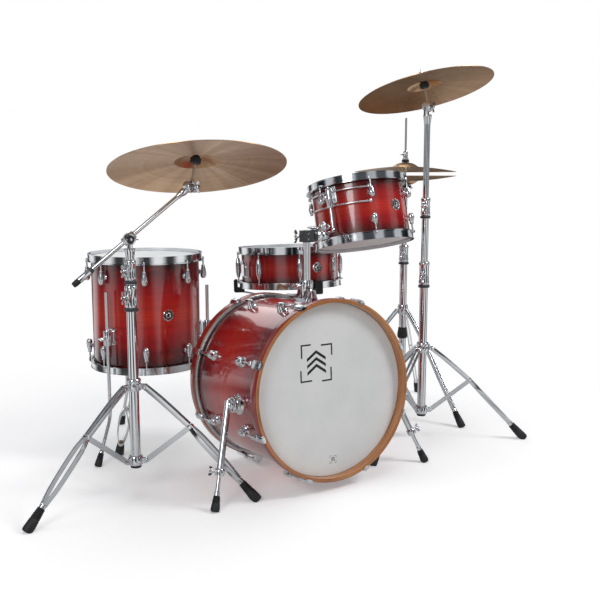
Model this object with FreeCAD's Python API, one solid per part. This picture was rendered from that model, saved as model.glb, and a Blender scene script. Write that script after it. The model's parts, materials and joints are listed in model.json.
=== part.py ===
import FreeCAD, Part
import math
import os

# An acoustic drum kit: bass drum, rack tom, floor tom, snare on its stand, ride cymbal on a boom
# stand, crash cymbal on a straight stand, and hi-hat. Millimetres, +Z up, -Y towards the audience.
# The layout is drawn about the point on the floor under the bass drum's front edge, then every
# piece is moved so that the origin is the bottom centre of the whole kit's box.

Vec = FreeCAD.Vector
X, Y, Z = Vec(1, 0, 0), Vec(0, 1, 0), Vec(0, 0, 1)

# ---- fits -------------------------------------------------------------------
RUN = 0.08            # radial clearance of a tube, rod or pin that turns or slides in a bore
GAP = 0.3             # space kept between faces of two pieces that pass each other
SEAT = 0.05           # space between pieces of one drum that are pressed together

# ---- bass drum: 20 x 14 inch --------------------------------------------------
BASS_SHELL_R = 254.0
BASS_DEPTH = 415.0            # over both wood hoops
BASS_PITCH = 4.0              # degrees that the front is raised
BASS_WALL = 8.0
BASS_HOOP_T = 12.0            # thickness of the wood hoop
BASS_HOOP_W = 34.0            # width of the wood hoop along the drum
BASS_HEAD_RECESS = 27.0       # head below the hoop's outer edge
BASS_LUGS = 8
SPUR_Y = 125.0
SPUR_Z = 266.0
SPUR_FOOT = Vec(379, 34, 0)
MOUNT_Y = 155.0               # place of the tom post along the bass drum

# ---- tensioned drums with steel hoops ------------------------------------------
SHELL_WALL = 6.0
HOOP_WALL = 2.3
HOOP_RISE = 11.0              # hoop above the head
HOOP_DROP = 14.0              # hoop below the head, down to its flange
ROD_R = 2.8                   # tension rod
FILM = 0.5                    # drum head film
LUG_R = 8.0
BADGE_R = 15.0

FLOOR_TOM_R = 177.8
FLOOR_TOM_H = 356.0
FLOOR_TOM_AT = Vec(-289.5, 696.2, 293.6)
FLOOR_TOM_LUG_AZ = 246.2
FLOOR_TOM_LEG_AZ = 210.0
LEG_ROD_R = 5.5
LEG_ROD_TOP = 550.0
LEG_BEND_Z = 144.0
LEG_SPREAD = 68.0             # foot beyond the vertical part of the leg

RACK_TOM_R = 152.4
RACK_TOM_H = 190.0
RACK_TOM_TOP = Vec(304, 320, 892)
RACK_TOM_TILT = 13.2
HOLDER_AZ = 200.0             # where the tom's holder sits round the shell
RACK_TOM_LUG_AZ = 247.8
POST_R = 11.1
POST_TOP = 752.0
POST_BOTTOM = 470.0
CLAMP_Z = 735.0               # height of the tom clamp and of its tilting joint
TOM_ARM_R = 5.5
HOLDER_LOW = 30.0             # elbow of the arm above the tom's lower edge

SNARE_R = 177.8
SNARE_H = 127.0
SNARE_AT = Vec(275, 686, 521)
SNARE_TILT = 3.0
SNARE_LUG_AZ = 248.5
SNARE_LEG_R = 250.0
BASKET_AZ = 267.9
SNARE_HUB_Z = 428.0           # height of the basket's tilting joint
LEVER_PIVOT_R = SNARE_R + 20
LEVER_PIVOT_Z = 36.0          # strainer lever's pin above the shell's lower edge
LEVER_KNUCKLE_R = 3.8

# ---- cymbals --------------------------------------------------------------------
RIDE_R = 254.0
CRASH_R = 228.6
HAT_R = 190.5
CYMBAL_T = 1.6
CYMBAL_HOLE_R = 6.0
STEM_R = 4.0
FELT_R = 12.0
FELT_DROP = 1.0               # felt under the bell's inner curve
ROCK_PLAY = 0.6               # play of a rocking cymbal's hole round its sleeve
RIM_ABOVE_PIVOT = 52.0        # cymbal rim plane above the tilter's pivot

# ---- stands ----------------------------------------------------------------------
BASE_TUBE_R = 14.3
TUBE_WALL = 2.0
FOOT_R = 362.0                # radius of the tripod's feet
TUBE_BOTTOM = 79.0
COLLAR_PIVOT_R = 34.0
COLLAR_PIVOT_Z = 318.0
NODE_R = 166.0                # where the strut meets the leg
NODE_Z = 207.0
STRUT_PIVOT_R = 31.0
STRUT_PIVOT_Z = 100.0
COLLAR_TRAVEL = 118.0
PIN_R = 3.0
STRIP_W = 15.0
STRIP_T = 3.0
RUBBER_R = 15.0
RUBBER_L = 78.0

BOOM_AT = Vec(-503.1, 286.2, 0)
BOOM_LEG_AZ = 77.3
BOOM_CLAMP_1 = (544.0, 609.0)
BOOM_CLAMP_2 = (621.0, 680.0)
BOOM_PIVOT_Z = 738.0
BOOM_LEAN = 39.5              # boom above the horizontal
BOOM_AZ = -16.0
BOOM_REACH = 224.5            # pivot to the cymbal tilter
BOOM_TAIL = 202.0
BOOM_R = 6.4
BOOM_OFFSET = 20.0            # boom beside the stand's axis
RIDE_NORMAL = Vec(0.07, 0.27, 0.96)
RIDE_STEM = Vec(0.27, 0.14, 0.95)   # the ride rocks loosely on its felts, off the stem's line

CRASH_AT = Vec(542.7, 245.9, 0)
CRASH_LEG_AZ = 83.9
CRASH_CLAMP_1 = (542.0, 622.0)
CRASH_CLAMP_2 = (779.0, 840.0)
CRASH_PIVOT_Z = 1142.0
CRASH_NORMAL = Vec(-0.06, 0.26, 0.96)

HAT_AT = Vec(706.7, 552.0, 0)
HAT_LEG_AZ = 277.0
HAT_FOOT_R = 308.0
HAT_CLAMP = (587.0, 652.0)
HAT_TUBE_R = 10.1
HAT_RIM_Z = 905.0
HAT_OPEN = 14.0               # gap between the two rims with the pedal up
HAT_ROD_BOTTOM = 156.0
HAT_ROD_TOP = 1130.0
HAT_PEDAL_AZ = 97.0
PEDAL_HEEL = 285.0
PEDAL_TOE = 48.0
PEDAL_W = 95.0

parts = {}                    # node name -> shape, filled below and written at the end
joints = {}                   # joint name -> the values that its motion follows


# ---- small tools -------------------------------------------------------------------
def unit(v):
    w = Vec(v)
    w.normalize()
    return w


def polar(azimuth, radius, height=0.0):
    a = math.radians(azimuth)
    return Vec(radius * math.cos(a), radius * math.sin(a), height)


def placed(shape, origin, z_axis=Z, x_axis=X):
    """A copy of a shape drawn about the origin, stood on z_axis and turned to x_axis."""
    z = unit(z_axis)
    y = unit(z.cross(x_axis))
    x = y.cross(z)
    m = FreeCAD.Matrix(x.x, y.x, z.x, origin.x, x.y, y.y, z.y, origin.y, x.z, y.z, z.z, origin.z, 0, 0, 0, 1)
    copy = shape.copy()
    copy.transformShape(m)
    return copy


def rod(start, end, radius):
    run = end - start
    return Part.makeCylinder(radius, run.Length, start, run)


def ring(r_in, r_out, z0, z1):
    outer = Part.makeCylinder(r_out, z1 - z0, Vec(0, 0, z0))
    return outer.cut(Part.makeCylinder(r_in, z1 - z0, Vec(0, 0, z0)))


def block(x0, x1, y0, y1, z0, z1):
    return Part.makeBox(x1 - x0, y1 - y0, z1 - z0, Vec(x0, y0, z0))


def fused(*shapes):
    whole = shapes[0]
    if len(shapes) > 1:
        whole = whole.fuse(list(shapes[1:]))
    return whole.removeSplitter()


def group(shapes):
    return Part.makeCompound([s for shape in shapes for s in shape.Solids])


def turned(points):
    """A solid of revolution about Z from a closed outline of (radius, height) points."""
    wire = Part.makePolygon([Vec(r, 0, z) for r, z in points + points[:1]])
    return Part.Face(wire).revolve(Vec(0, 0, 0), Z, 360)


def plate(points, thickness, origin, radial):
    """A flat plate in the upright plane of `radial`, from (radius, height) points, centred on it."""
    wire = Part.makePolygon([Vec(r, 0, z) for r, z in points + points[:1]])
    solid = Part.Face(wire).extrude(Vec(0, thickness, 0))
    solid.translate(Vec(0, -thickness / 2, 0))
    return placed(solid, origin, Z, radial)


def bar_outline(start, end, width):
    """The four corners of a straight bar between two (radius, height) points."""
    run_r, run_z = end[0] - start[0], end[1] - start[1]
    length = math.hypot(run_r, run_z)
    off_r, off_z = -run_z / length * width / 2, run_r / length * width / 2
    return [(start[0] + off_r, start[1] + off_z), (end[0] + off_r, end[1] + off_z),
            (end[0] - off_r, end[1] - off_z), (start[0] - off_r, start[1] - off_z)]


# ---- drums -------------------------------------------------------------------------
def steel_hoop(shell_r, lug_angles):
    """A flanged steel hoop with its head plane at height 0, holed for the tension rods."""
    inner = shell_r + 7.2
    wall = inner + HOOP_WALL
    flange = hoop_flange(shell_r)
    outline = [(inner, -HOOP_DROP), (flange, -HOOP_DROP), (flange, -HOOP_DROP + HOOP_WALL),
               (wall, -HOOP_DROP + HOOP_WALL), (wall, HOOP_RISE - HOOP_WALL), (wall + 1.7, HOOP_RISE - HOOP_WALL),
               (wall + 1.7, HOOP_RISE), (inner, HOOP_RISE)]
    hoop = turned(outline)
    for angle in lug_angles:
        hole = Part.makeCylinder(ROD_R + GAP, 4 * HOOP_WALL, polar(angle, rod_circle(shell_r), -HOOP_DROP - HOOP_WALL))
        hoop = hoop.cut(hole)
    return hoop


def rod_circle(shell_r):
    return shell_r + 13.6


def hoop_flange(shell_r):
    return rod_circle(shell_r) + ROD_R + GAP + 0.5


def drum_head(shell_r):
    """Film over the shell's edge, drawn down into its flesh hoop; the shell's edge is at height 0."""
    top = SEAT + FILM
    inner = shell_r + SEAT
    return turned([(0, SEAT), (inner, SEAT), (inner, -10), (inner + 6.5, -10), (inner + 6.5, -3),
                   (inner + FILM, -3), (inner + FILM, top), (0, top)])


def shell_tube(radius, wall, height):
    return ring(radius - wall, radius, 0, height)


def tom_lug(shell_r, angle, low, high, rod_end):
    """A lug on the shell from `low` to `high`, with its tension rod up to `rod_end`."""
    r = rod_circle(shell_r)
    body = Part.makeCylinder(LUG_R, high - low, Vec(r, 0, low))
    foot = block(shell_r - 5, r, -LUG_R, LUG_R, low, high)
    body = fused(body, foot).cut(Part.makeCylinder(shell_r, high - low, Vec(0, 0, low)))
    edge, tip = (high, rod_end) if rod_end > high else (low, rod_end)
    sign = 1 if rod_end > high else -1
    screw = Part.makeCylinder(ROD_R, abs(tip - edge), Vec(r, 0, min(edge, tip)))
    head = Part.makeCylinder(ROD_R + 1, 6.0, Vec(r, 0, min(tip, tip + sign * 6.0)))
    whole = fused(body, screw, head)
    whole.rotate(Vec(0, 0, 0), Z, angle)
    return whole


def badge(shell_r, azimuth, height):
    disc = Part.makeCylinder(BADGE_R, 12, polar(azimuth, shell_r - 9, height), polar(azimuth, 1))
    return disc.cut(Part.makeCylinder(shell_r, 60, Vec(0, 0, height - 30)))


def tensioned_drum(name, radius, height, lugs, lug_az, lug_l, badge_az, place):
    """Shell, two steel hoops, two heads and the lugs of one drum; `place` puts them in the kit."""
    angles = [lug_az + 360.0 * i / lugs for i in range(lugs)]
    top = height
    hoop = steel_hoop(radius, angles)
    upper = placed(hoop, Vec(0, 0, top))
    lower = hoop.mirror(Vec(0, 0, 0), Z)
    head = drum_head(radius)
    skins = [placed(head, Vec(0, 0, top)), head.mirror(Vec(0, 0, 0), Z)]
    reach = HOOP_DROP - HOOP_WALL - SEAT
    hardware = []
    for angle in angles:
        if lug_l > height / 3:
            middle = tom_lug(radius, angle, (height - lug_l) / 2, (height + lug_l) / 2, top - reach)
            foot = placed(Part.makeCylinder(ROD_R, (height - lug_l) / 2 - reach), Vec(0, 0, reach))
            foot.translate(polar(angle, rod_circle(radius)))
            hardware.append(fused(middle, foot))
        else:
            hardware.append(tom_lug(radius, angle, top - 40 - lug_l, top - 40, top - reach))
            hardware.append(tom_lug(radius, angle, 40, 40 + lug_l, reach))
    hardware.append(badge(radius, badge_az, height / 2))
    parts[name + "_shell"] = place(shell_tube(radius, SHELL_WALL, height))
    parts[name + "_hoops"] = place(group([upper, lower]))
    parts[name + "_heads"] = place(group(skins))
    return hardware


def bass_drum():
    axis = Vec(0, -math.cos(math.radians(BASS_PITCH)), math.sin(math.radians(BASS_PITCH)))
    hoop_r = BASS_SHELL_R + 1.6 + BASS_HOOP_T
    rear = Vec(0, 0, hoop_r * math.cos(math.radians(BASS_PITCH))) - Vec(0, axis.y, 0) * BASS_DEPTH

    def place(shape):
        return placed(shape, rear, axis, X)

    edge = BASS_HEAD_RECESS + FILM + SEAT
    length = BASS_DEPTH - 2 * edge
    shell = place(placed(shell_tube(BASS_SHELL_R, BASS_WALL, length), Vec(0, 0, edge)))
    bore = rod(Vec(0, MOUNT_Y, POST_BOTTOM), Vec(0, MOUNT_Y, POST_TOP), POST_R + 2)
    parts["bass_shell"] = shell.cut(bore)
    solid_shell = place(Part.makeCylinder(BASS_SHELL_R, BASS_DEPTH))

    head = drum_head(BASS_SHELL_R)
    rear_head = placed(head.mirror(Vec(0, 0, 0), Z), Vec(0, 0, edge))
    parts["bass_heads"] = place(group([placed(head, Vec(0, 0, edge + length)), rear_head]))
    hoop_in = BASS_SHELL_R + 1.6
    front_hoop = ring(hoop_in, hoop_r, BASS_DEPTH - BASS_HOOP_W + 4, BASS_DEPTH)
    rear_hoop = ring(hoop_in, hoop_r, 0, BASS_HOOP_W - 4)
    parts["bass_hoops"] = place(group([front_hoop, rear_hoop]))

    hardware = []
    claw_r = hoop_r + 4.5
    for i in range(BASS_LUGS):
        claw = fused(block(hoop_r + SEAT, hoop_r + 9, -11, 11, BASS_DEPTH - 48, BASS_DEPTH + 3),
                     block(hoop_r - 8, hoop_r + 9, -11, 11, BASS_DEPTH + SEAT, BASS_DEPTH + 3),
                     Part.makeCylinder(ROD_R, 50, Vec(claw_r, 0, BASS_DEPTH - 97)),
                     Part.makeCylinder(9, 34, Vec(claw_r, 0, BASS_DEPTH - 130)),
                     block(BASS_SHELL_R - 5, claw_r, -9, 9, BASS_DEPTH - 130, BASS_DEPTH - 96))
        claw = claw.cut(Part.makeCylinder(BASS_SHELL_R, BASS_DEPTH))
        claw.rotate(Vec(0, 0, 0), Z, (i + 0.5) * 360.0 / BASS_LUGS)
        hardware.append(place(claw))
        back = claw.mirror(Vec(0, 0, BASS_DEPTH / 2), Z)
        hardware.append(place(back))
    for side in (-1, 1):
        disc = rod(Vec(side * (BASS_SHELL_R - 20), SPUR_Y, SPUR_Z), Vec(side * spur_face(), SPUR_Y, SPUR_Z), 24)
        hardware.append(disc.cut(solid_shell))
    hardware.append(tom_mount(solid_shell))
    parts["bass_hardware"] = group(hardware)
    spurs()


def spur_face():
    return BASS_SHELL_R + 13


def tom_mount(solid_shell):
    """Saddle on top of the bass drum with the receiver that holds the tom post."""
    top = BASS_SHELL_R * 2 + 40
    saddle = block(-32, 32, MOUNT_Y - 36, MOUNT_Y + 36, top - 60, top + 22)
    neck = rod(Vec(0, MOUNT_Y, top), Vec(0, MOUNT_Y, top + 55), 19)
    screw = rod(Vec(-15, MOUNT_Y, top + 40), Vec(-44, MOUNT_Y, top + 40), 4)
    wing = block(-48, -43, MOUNT_Y - 14, MOUNT_Y + 14, top + 34, top + 46)
    whole = fused(saddle, neck, screw, wing).cut(solid_shell)
    return whole.cut(rod(Vec(0, MOUNT_Y, top - 100), Vec(0, MOUNT_Y, top + 100), POST_R + RUN))


def spurs():
    """Two folding legs at the front of the bass drum, each on its disc bracket."""
    for name, side in (("spur_left", -1), ("spur_right", 1)):
        foot = Vec(side * SPUR_FOOT.x, SPUR_FOOT.y, 0)
        head = Vec(side * (spur_face() + 20), SPUR_Y, SPUR_Z)
        along = foot - head
        elbow = head + along * 0.66
        disc = rod(Vec(side * (spur_face() + GAP), SPUR_Y, SPUR_Z), Vec(side * (spur_face() + 14), SPUR_Y, SPUR_Z), 22)
        spur = fused(disc, rod(head - unit(along) * 14, elbow, 9.5), rod(elbow, foot, 6),
                     rod(elbow - unit(along) * 16, elbow + unit(along) * 4, 14), rod(foot - unit(along) * 44, foot, 13))
        parts[name] = spur.cut(block(-900, 900, -900, 900, -60, 0))
        joints[name + "_fold"] = {"at": Vec(side * spur_face(), SPUR_Y, SPUR_Z), "axis": Vec(-1, 0, 0)}


def floor_tom():
    def place(shape):
        return placed(shape, FLOOR_TOM_AT)

    hardware = tensioned_drum("floor_tom", FLOOR_TOM_R, FLOOR_TOM_H, 8, FLOOR_TOM_LUG_AZ, 38, 270, place)
    leg_r = FLOOR_TOM_R + 25.2
    for i in range(3):
        azimuth = FLOOR_TOM_LEG_AZ + 120 * i
        low = 404.0 - FLOOR_TOM_AT.z - 26
        bracket = block(FLOOR_TOM_R - 8, leg_r + 13, -15, 15, low, low + 52)
        bracket = bracket.cut(Part.makeCylinder(FLOOR_TOM_R, 60, Vec(0, 0, low - 4)))
        bracket = bracket.cut(Part.makeCylinder(LEG_ROD_R + RUN, 60, Vec(leg_r, 0, low - 4)))
        screw = rod(Vec(leg_r + 12, 0, low + 26), Vec(leg_r + 26, 0, low + 26), 3.5)
        wing = block(leg_r + 25, leg_r + 29, -15, 15, low + 20, low + 32)
        bracket = fused(bracket, screw, wing)
        bracket.rotate(Vec(0, 0, 0), Z, azimuth)
        hardware.append(bracket)
        top = Vec(leg_r, 0, LEG_ROD_TOP)
        bend = Vec(leg_r, 0, LEG_BEND_Z)
        foot = Vec(leg_r + LEG_SPREAD, 0, 0)
        slope = unit(foot - bend)
        leg = fused(rod(top, bend, LEG_ROD_R), Part.makeSphere(LEG_ROD_R, bend), rod(bend, foot, LEG_ROD_R),
                    rod(foot - slope * 42, foot + slope * 6, 12))
        leg = leg.cut(block(0, 900, -200, 200, -60, 0))
        leg.rotate(Vec(0, 0, 0), Z, azimuth)
        leg.translate(Vec(FLOOR_TOM_AT.x, FLOOR_TOM_AT.y, 0))
        parts["floor_tom_leg_%d" % (i + 1)] = leg
    parts["floor_tom_hardware"] = place(group(hardware))


# ---- rack tom on its post -------------------------------------------------------------
def rack_tom():
    tilt = math.radians(RACK_TOM_TILT)
    axis = Vec(0, math.sin(tilt), math.cos(tilt))
    bottom = RACK_TOM_TOP - axis * (RACK_TOM_H + HOOP_RISE)

    def place(shape):
        return placed(shape, bottom, axis, X)

    hardware = tensioned_drum("rack_tom", RACK_TOM_R, RACK_TOM_H, 6, RACK_TOM_LUG_AZ, 30, 281, place)
    top = RACK_TOM_H - HOOP_DROP - 4
    upright = polar(HOLDER_AZ, RACK_TOM_R + 14)
    elbow = placed(Part.Vertex(upright + Vec(0, 0, HOLDER_LOW)), bottom, axis, X).Vertexes[0].Point
    receiver = block(-15, 15, -11, 11, top - 66, top - 4)
    receiver.rotate(Vec(0, 0, 0), Z, HOLDER_AZ - 90)
    receiver.translate(upright)
    strap = ring(RACK_TOM_R + SEAT, RACK_TOM_R + 3, top - 74, top)
    strap = strap.common(wedge(RACK_TOM_R + 20, HOLDER_AZ - 8, HOLDER_AZ + 8, top - 74, top))
    holder = fused(receiver, strap)
    holder = holder.cut(Part.makeCylinder(RACK_TOM_R, RACK_TOM_H))
    holder = holder.cut(Part.makeCylinder(TOM_ARM_R + RUN, RACK_TOM_H, upright))
    hardware.append(holder)
    parts["rack_tom_hardware"] = place(group(hardware))

    post = rod(Vec(0, MOUNT_Y, POST_BOTTOM), Vec(0, MOUNT_Y, POST_TOP), POST_R)
    parts["tom_post"] = post.cut(rod(Vec(0, MOUNT_Y, POST_BOTTOM), Vec(0, MOUNT_Y, POST_TOP), POST_R - 2))
    pivot = Vec(0, MOUNT_Y, CLAMP_Z)
    clamp = fused(block(-18, 19, -20, 20, -18, 16), rod(Vec(18, 0, 0), Vec(31, 0, 0), 19),
                  rod(Vec(-17, 0, 0), Vec(-40, 0, 0), 4), block(-44, -39, -17, 17, -6, 6))
    clamp = clamp.cut(rod(Vec(0, 0, -40), Vec(0, 0, 40), POST_R + RUN))
    parts["tom_clamp"] = placed(clamp, pivot)
    disc = rod(pivot + Vec(31 + GAP, 0, 0), pivot + Vec(46, 0, 0), 19)
    tip = elbow + axis * (top - HOLDER_LOW)
    arm = fused(disc, rod(pivot + Vec(44, 0, 0), elbow, TOM_ARM_R), Part.makeSphere(TOM_ARM_R, elbow),
                rod(elbow, tip, TOM_ARM_R))
    parts["tom_arm"] = arm
    joints["tom_arm_tilt"] = {"at": pivot + Vec(31, 0, 0), "axis": X}
    joints["tom_clamp_swivel"] = {"at": pivot, "axis": Z}


def wedge(radius, az0, az1, z0, z1):
    """A pie slice about Z between two azimuths."""
    mid = math.radians((az0 + az1) / 2)
    half = math.radians((az1 - az0) / 2)
    reach = radius / math.cos(half)
    corners = [Vec(0, 0, z0)]
    corners += [Vec(reach * math.cos(mid + s * half), reach * math.sin(mid + s * half), z0) for s in (-1, 1)]
    return Part.Face(Part.makePolygon(corners + corners[:1])).extrude(Vec(0, 0, z1 - z0))


# ---- cymbals --------------------------------------------------------------------------
def cymbal(radius, bow, bell_r, bell_h):
    """A bronze disc with its rim plane at height 0: a shallow bow that rises to the bell."""
    run = bell_r - CYMBAL_HOLE_R
    curve = (run ** 2 + bell_h ** 2) / (2 * bell_h)
    half = math.asin(run / curve) / 2

    def edge(lift):
        top = bow + bell_h + lift
        bow_mid = Vec((radius + bell_r) / 2, 0, bow * 0.62 + lift)
        outer = Part.Arc(Vec(radius, 0, lift), bow_mid, Vec(bell_r, 0, bow + lift)).toShape()
        bell_mid = Vec(CYMBAL_HOLE_R + curve * math.sin(half), 0, top - curve * (1 - math.cos(half)))
        inner = Part.Arc(Vec(bell_r, 0, bow + lift), bell_mid, Vec(CYMBAL_HOLE_R, 0, top)).toShape()
        return outer, inner

    low_bow, low_bell = edge(0.0)
    high_bow, high_bell = edge(CYMBAL_T)
    top = bow + bell_h
    rim = Part.makeLine(Vec(radius, 0, 0), Vec(radius, 0, CYMBAL_T))
    hole = Part.makeLine(Vec(CYMBAL_HOLE_R, 0, top), Vec(CYMBAL_HOLE_R, 0, top + CYMBAL_T))
    wire = Part.Wire(Part.__sortEdges__([low_bow, low_bell, hole, high_bell, high_bow, rim]))
    return Part.Face(wire).revolve(Vec(0, 0, 0), Z, 360)


def fixed_disc(pivot, axis, radius=15.0):
    return rod(pivot - axis * 12, pivot - axis * GAP, radius)


def tilter(pivot, axis, stem_line, hole, rock=0.0):
    """The turning half of a cymbal tilter: disc, stem, felts and wing nut.

    `hole` is the height of the cymbal's hole on the stem, and `rock` the angle in degrees between
    the cymbal and the stem, for which the felts leave room.
    """
    disc = rod(pivot, pivot + axis * 12, 15)
    base = pivot + axis * 6
    n = unit(stem_line)
    slack = FELT_R * math.tan(math.radians(rock))
    sleeve_r = CYMBAL_HOLE_R - RUN
    if rock:
        sleeve_r = CYMBAL_HOLE_R - ROCK_PLAY
    stem = rod(base, base + n * (hole + 40), STEM_R)
    sleeve = rod(base + n * (hole - 16), base + n * (hole + 16), sleeve_r)
    cup = rod(base + n * (hole - 24), base + n * (hole - 12), 16)
    felt = rod(base + n * (hole - 12), base + n * (hole - FELT_DROP - slack), FELT_R)
    top_felt = rod(base + n * (hole + CYMBAL_T + GAP + slack), base + n * (hole + 14), FELT_R)
    nut = rod(base + n * (hole + 14), base + n * (hole + 26), 6)
    wing = placed(block(-17, 17, -2, 2, 0, 11), base + n * (hole + 16), n, axis)
    return fused(disc, stem, sleeve, cup, felt, top_felt, nut, wing), base


def tube_clamp(at, span, r_in, r_out, azimuth):
    """A cast clamp round a tube's mouth, with its wing screw."""
    low, high = span
    body = placed(ring(r_in, r_out + 4, low, high), at)
    mid = (low + high) / 2
    lug = placed(block(r_in + 1, r_out + 12, -8, 8, mid - 16, mid + 16), at, Z, polar(azimuth, 1))
    lug = lug.cut(placed(Part.makeCylinder(r_in, 60, Vec(0, 0, mid - 30)), at))
    screw = rod(at + polar(azimuth, r_out + 11, mid), at + polar(azimuth, r_out + 26, mid), 4)
    wing = placed(block(r_out + 25, r_out + 30, -5, 5, mid - 17, mid + 17), at, Z, polar(azimuth, 1))
    return [body, lug, screw, wing]


# ---- folding tripod --------------------------------------------------------------------
def node_place(travel):
    """Where strut and leg meet in the upright plane of a leg, with the collar raised by `travel`."""
    leg_l = math.hypot(NODE_R - COLLAR_PIVOT_R, COLLAR_PIVOT_Z - NODE_Z)
    strut_l = math.hypot(NODE_R - STRUT_PIVOT_R, NODE_Z - STRUT_PIVOT_Z)
    top = (COLLAR_PIVOT_R, COLLAR_PIVOT_Z + travel)
    low = (STRUT_PIVOT_R, STRUT_PIVOT_Z)
    span = math.hypot(top[0] - low[0], top[1] - low[1])
    along = (strut_l ** 2 - leg_l ** 2 + span ** 2) / (2 * span)
    out = math.sqrt(strut_l ** 2 - along ** 2)
    ur, uz = (top[0] - low[0]) / span, (top[1] - low[1]) / span
    return low[0] + ur * along + uz * out, low[1] + uz * along - ur * out


def fold_angles():
    """Degrees that the legs and the struts turn while the collar rises through its travel."""
    def lean(start, end):
        return math.atan2(end[0] - start[0], abs(end[1] - start[1]))

    open_node, shut_node = node_place(0), node_place(COLLAR_TRAVEL)
    top = (COLLAR_PIVOT_R, COLLAR_PIVOT_Z)
    raised = (COLLAR_PIVOT_R, COLLAR_PIVOT_Z + COLLAR_TRAVEL)
    low = (STRUT_PIVOT_R, STRUT_PIVOT_Z)
    leg = lean(top, open_node) - lean(raised, shut_node)
    strut = lean(low, open_node) - lean(low, shut_node)
    return math.degrees(leg), math.degrees(strut)


def tripod_leg(at, azimuth):
    """Two flat strips bent at the strut's node, with a rubber foot that stands on the floor."""
    out = polar(azimuth, 1)
    side = Z.cross(out)
    slope = unit(polar(azimuth, FOOT_R - NODE_R, -NODE_Z))
    foot = at + polar(azimuth, FOOT_R)
    shapes = []
    for s in (-1, 1):
        shift = at + side * (s * 6.5)
        upper = plate(bar_outline((COLLAR_PIVOT_R, COLLAR_PIVOT_Z), (NODE_R, NODE_Z), STRIP_W), STRIP_T, shift, out)
        lower = plate(bar_outline((NODE_R, NODE_Z), (FOOT_R - 40, NODE_Z * 40 / (FOOT_R - NODE_R)), STRIP_W),
                      STRIP_T, shift, out)
        bend = shift + polar(azimuth, NODE_R, NODE_Z)
        elbow = rod(bend - side * (STRIP_T / 2), bend + side * (STRIP_T / 2), STRIP_W / 2)
        eye_at = shift + polar(azimuth, COLLAR_PIVOT_R, COLLAR_PIVOT_Z)
        eye = rod(eye_at - side * (STRIP_T / 2), eye_at + side * (STRIP_T / 2), STRIP_W / 2)
        shapes += [upper, lower, elbow, eye]
    rubber = rod(foot - slope * RUBBER_L, foot + slope * 2, RUBBER_R)
    leg = fused(*(shapes + [rubber]))
    pin_at = at + polar(azimuth, COLLAR_PIVOT_R, COLLAR_PIVOT_Z)
    leg = leg.cut(rod(pin_at - side * 20, pin_at + side * 20, PIN_R + RUN))
    return leg.cut(block(-2000, 2000, -2000, 2000, -80, 0))


def tripod_strut(at, azimuth):
    out = polar(azimuth, 1)
    side = Z.cross(out)
    low, high = (STRUT_PIVOT_R, STRUT_PIVOT_Z), (NODE_R, NODE_Z)
    bar = plate(bar_outline(low, high, STRIP_W), STRIP_T, at, out)
    ends = [at + polar(azimuth, r, z) for r, z in (low, high)]
    eyes = [rod(end - side * (STRIP_T / 2), end + side * (STRIP_T / 2), STRIP_W / 2) for end in ends]
    strut = fused(bar, *eyes)
    return strut.cut(rod(ends[0] - side * 20, ends[0] + side * 20, PIN_R + RUN))


def pivot_ears(at, azimuth, pivot_r, pivot_z, inner, outer):
    """Pivot pin with the plate or plates that carry it, from the ring out past the pin."""
    out = polar(azimuth, 1)
    side = Z.cross(out)
    pin_at = at + polar(azimuth, pivot_r, pivot_z)
    shapes = [rod(pin_at - side * 9.5, pin_at + side * 9.5, PIN_R)]
    outline = [(BASE_TUBE_R + 3, pivot_z - 8), (pivot_r + 7, pivot_z - 8),
               (pivot_r + 7, pivot_z + 8), (BASE_TUBE_R + 3, pivot_z + 8)]
    for s in ((0,) if inner == 0 else (-1, 1)):
        middle = s * (inner + outer) / 2
        width = 2 * outer if inner == 0 else outer - inner
        shapes.append(plate(outline, width, at + side * middle, out))
    return shapes


def tripod(name, at, leg_az):
    """Collar, legs and struts of one folding stand; returns the lower bracket's solids."""
    collar = [placed(ring(BASE_TUBE_R + RUN, BASE_TUBE_R + 7, COLLAR_PIVOT_Z - 12, COLLAR_PIVOT_Z + 22), at)]
    bracket = [placed(ring(BASE_TUBE_R - 1, BASE_TUBE_R + 7, TUBE_BOTTOM + 8, TUBE_BOTTOM + 34), at)]
    strip_inner = 5.0 - GAP
    for i in range(3):
        azimuth = leg_az + 120 * i
        side = Z.cross(polar(azimuth, 1))
        collar += pivot_ears(at, azimuth, COLLAR_PIVOT_R, COLLAR_PIVOT_Z, 0, strip_inner)
        bracket += pivot_ears(at, azimuth, STRUT_PIVOT_R, STRUT_PIVOT_Z, STRIP_T / 2 + GAP, STRIP_T / 2 + 3)
        leg_name, strut_name = "%s_leg_%d" % (name, i + 1), "%s_strut_%d" % (name, i + 1)
        parts[leg_name] = tripod_leg(at, azimuth)
        parts[strut_name] = tripod_strut(at, azimuth)
        joints[leg_name + "_fold"] = {"at": at + polar(azimuth, COLLAR_PIVOT_R, COLLAR_PIVOT_Z), "axis": side}
        joints[strut_name + "_fold"] = {"at": at + polar(azimuth, STRUT_PIVOT_R, STRUT_PIVOT_Z), "axis": side * -1}
    wing_az = leg_az + 180
    mid = COLLAR_PIVOT_Z + 8
    collar.append(rod(at + polar(wing_az, BASE_TUBE_R + 6, mid), at + polar(wing_az, BASE_TUBE_R + 24, mid), 4))
    collar.append(placed(block(BASE_TUBE_R + 23, BASE_TUBE_R + 28, -5, 5, mid - 15, mid + 15), at, Z, polar(wing_az, 1)))
    cut = placed(Part.makeCylinder(BASE_TUBE_R + RUN, 80, Vec(0, 0, COLLAR_PIVOT_Z - 30)), at)
    parts[name + "_collar"] = fused(*collar).cut(cut)
    return bracket


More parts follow.
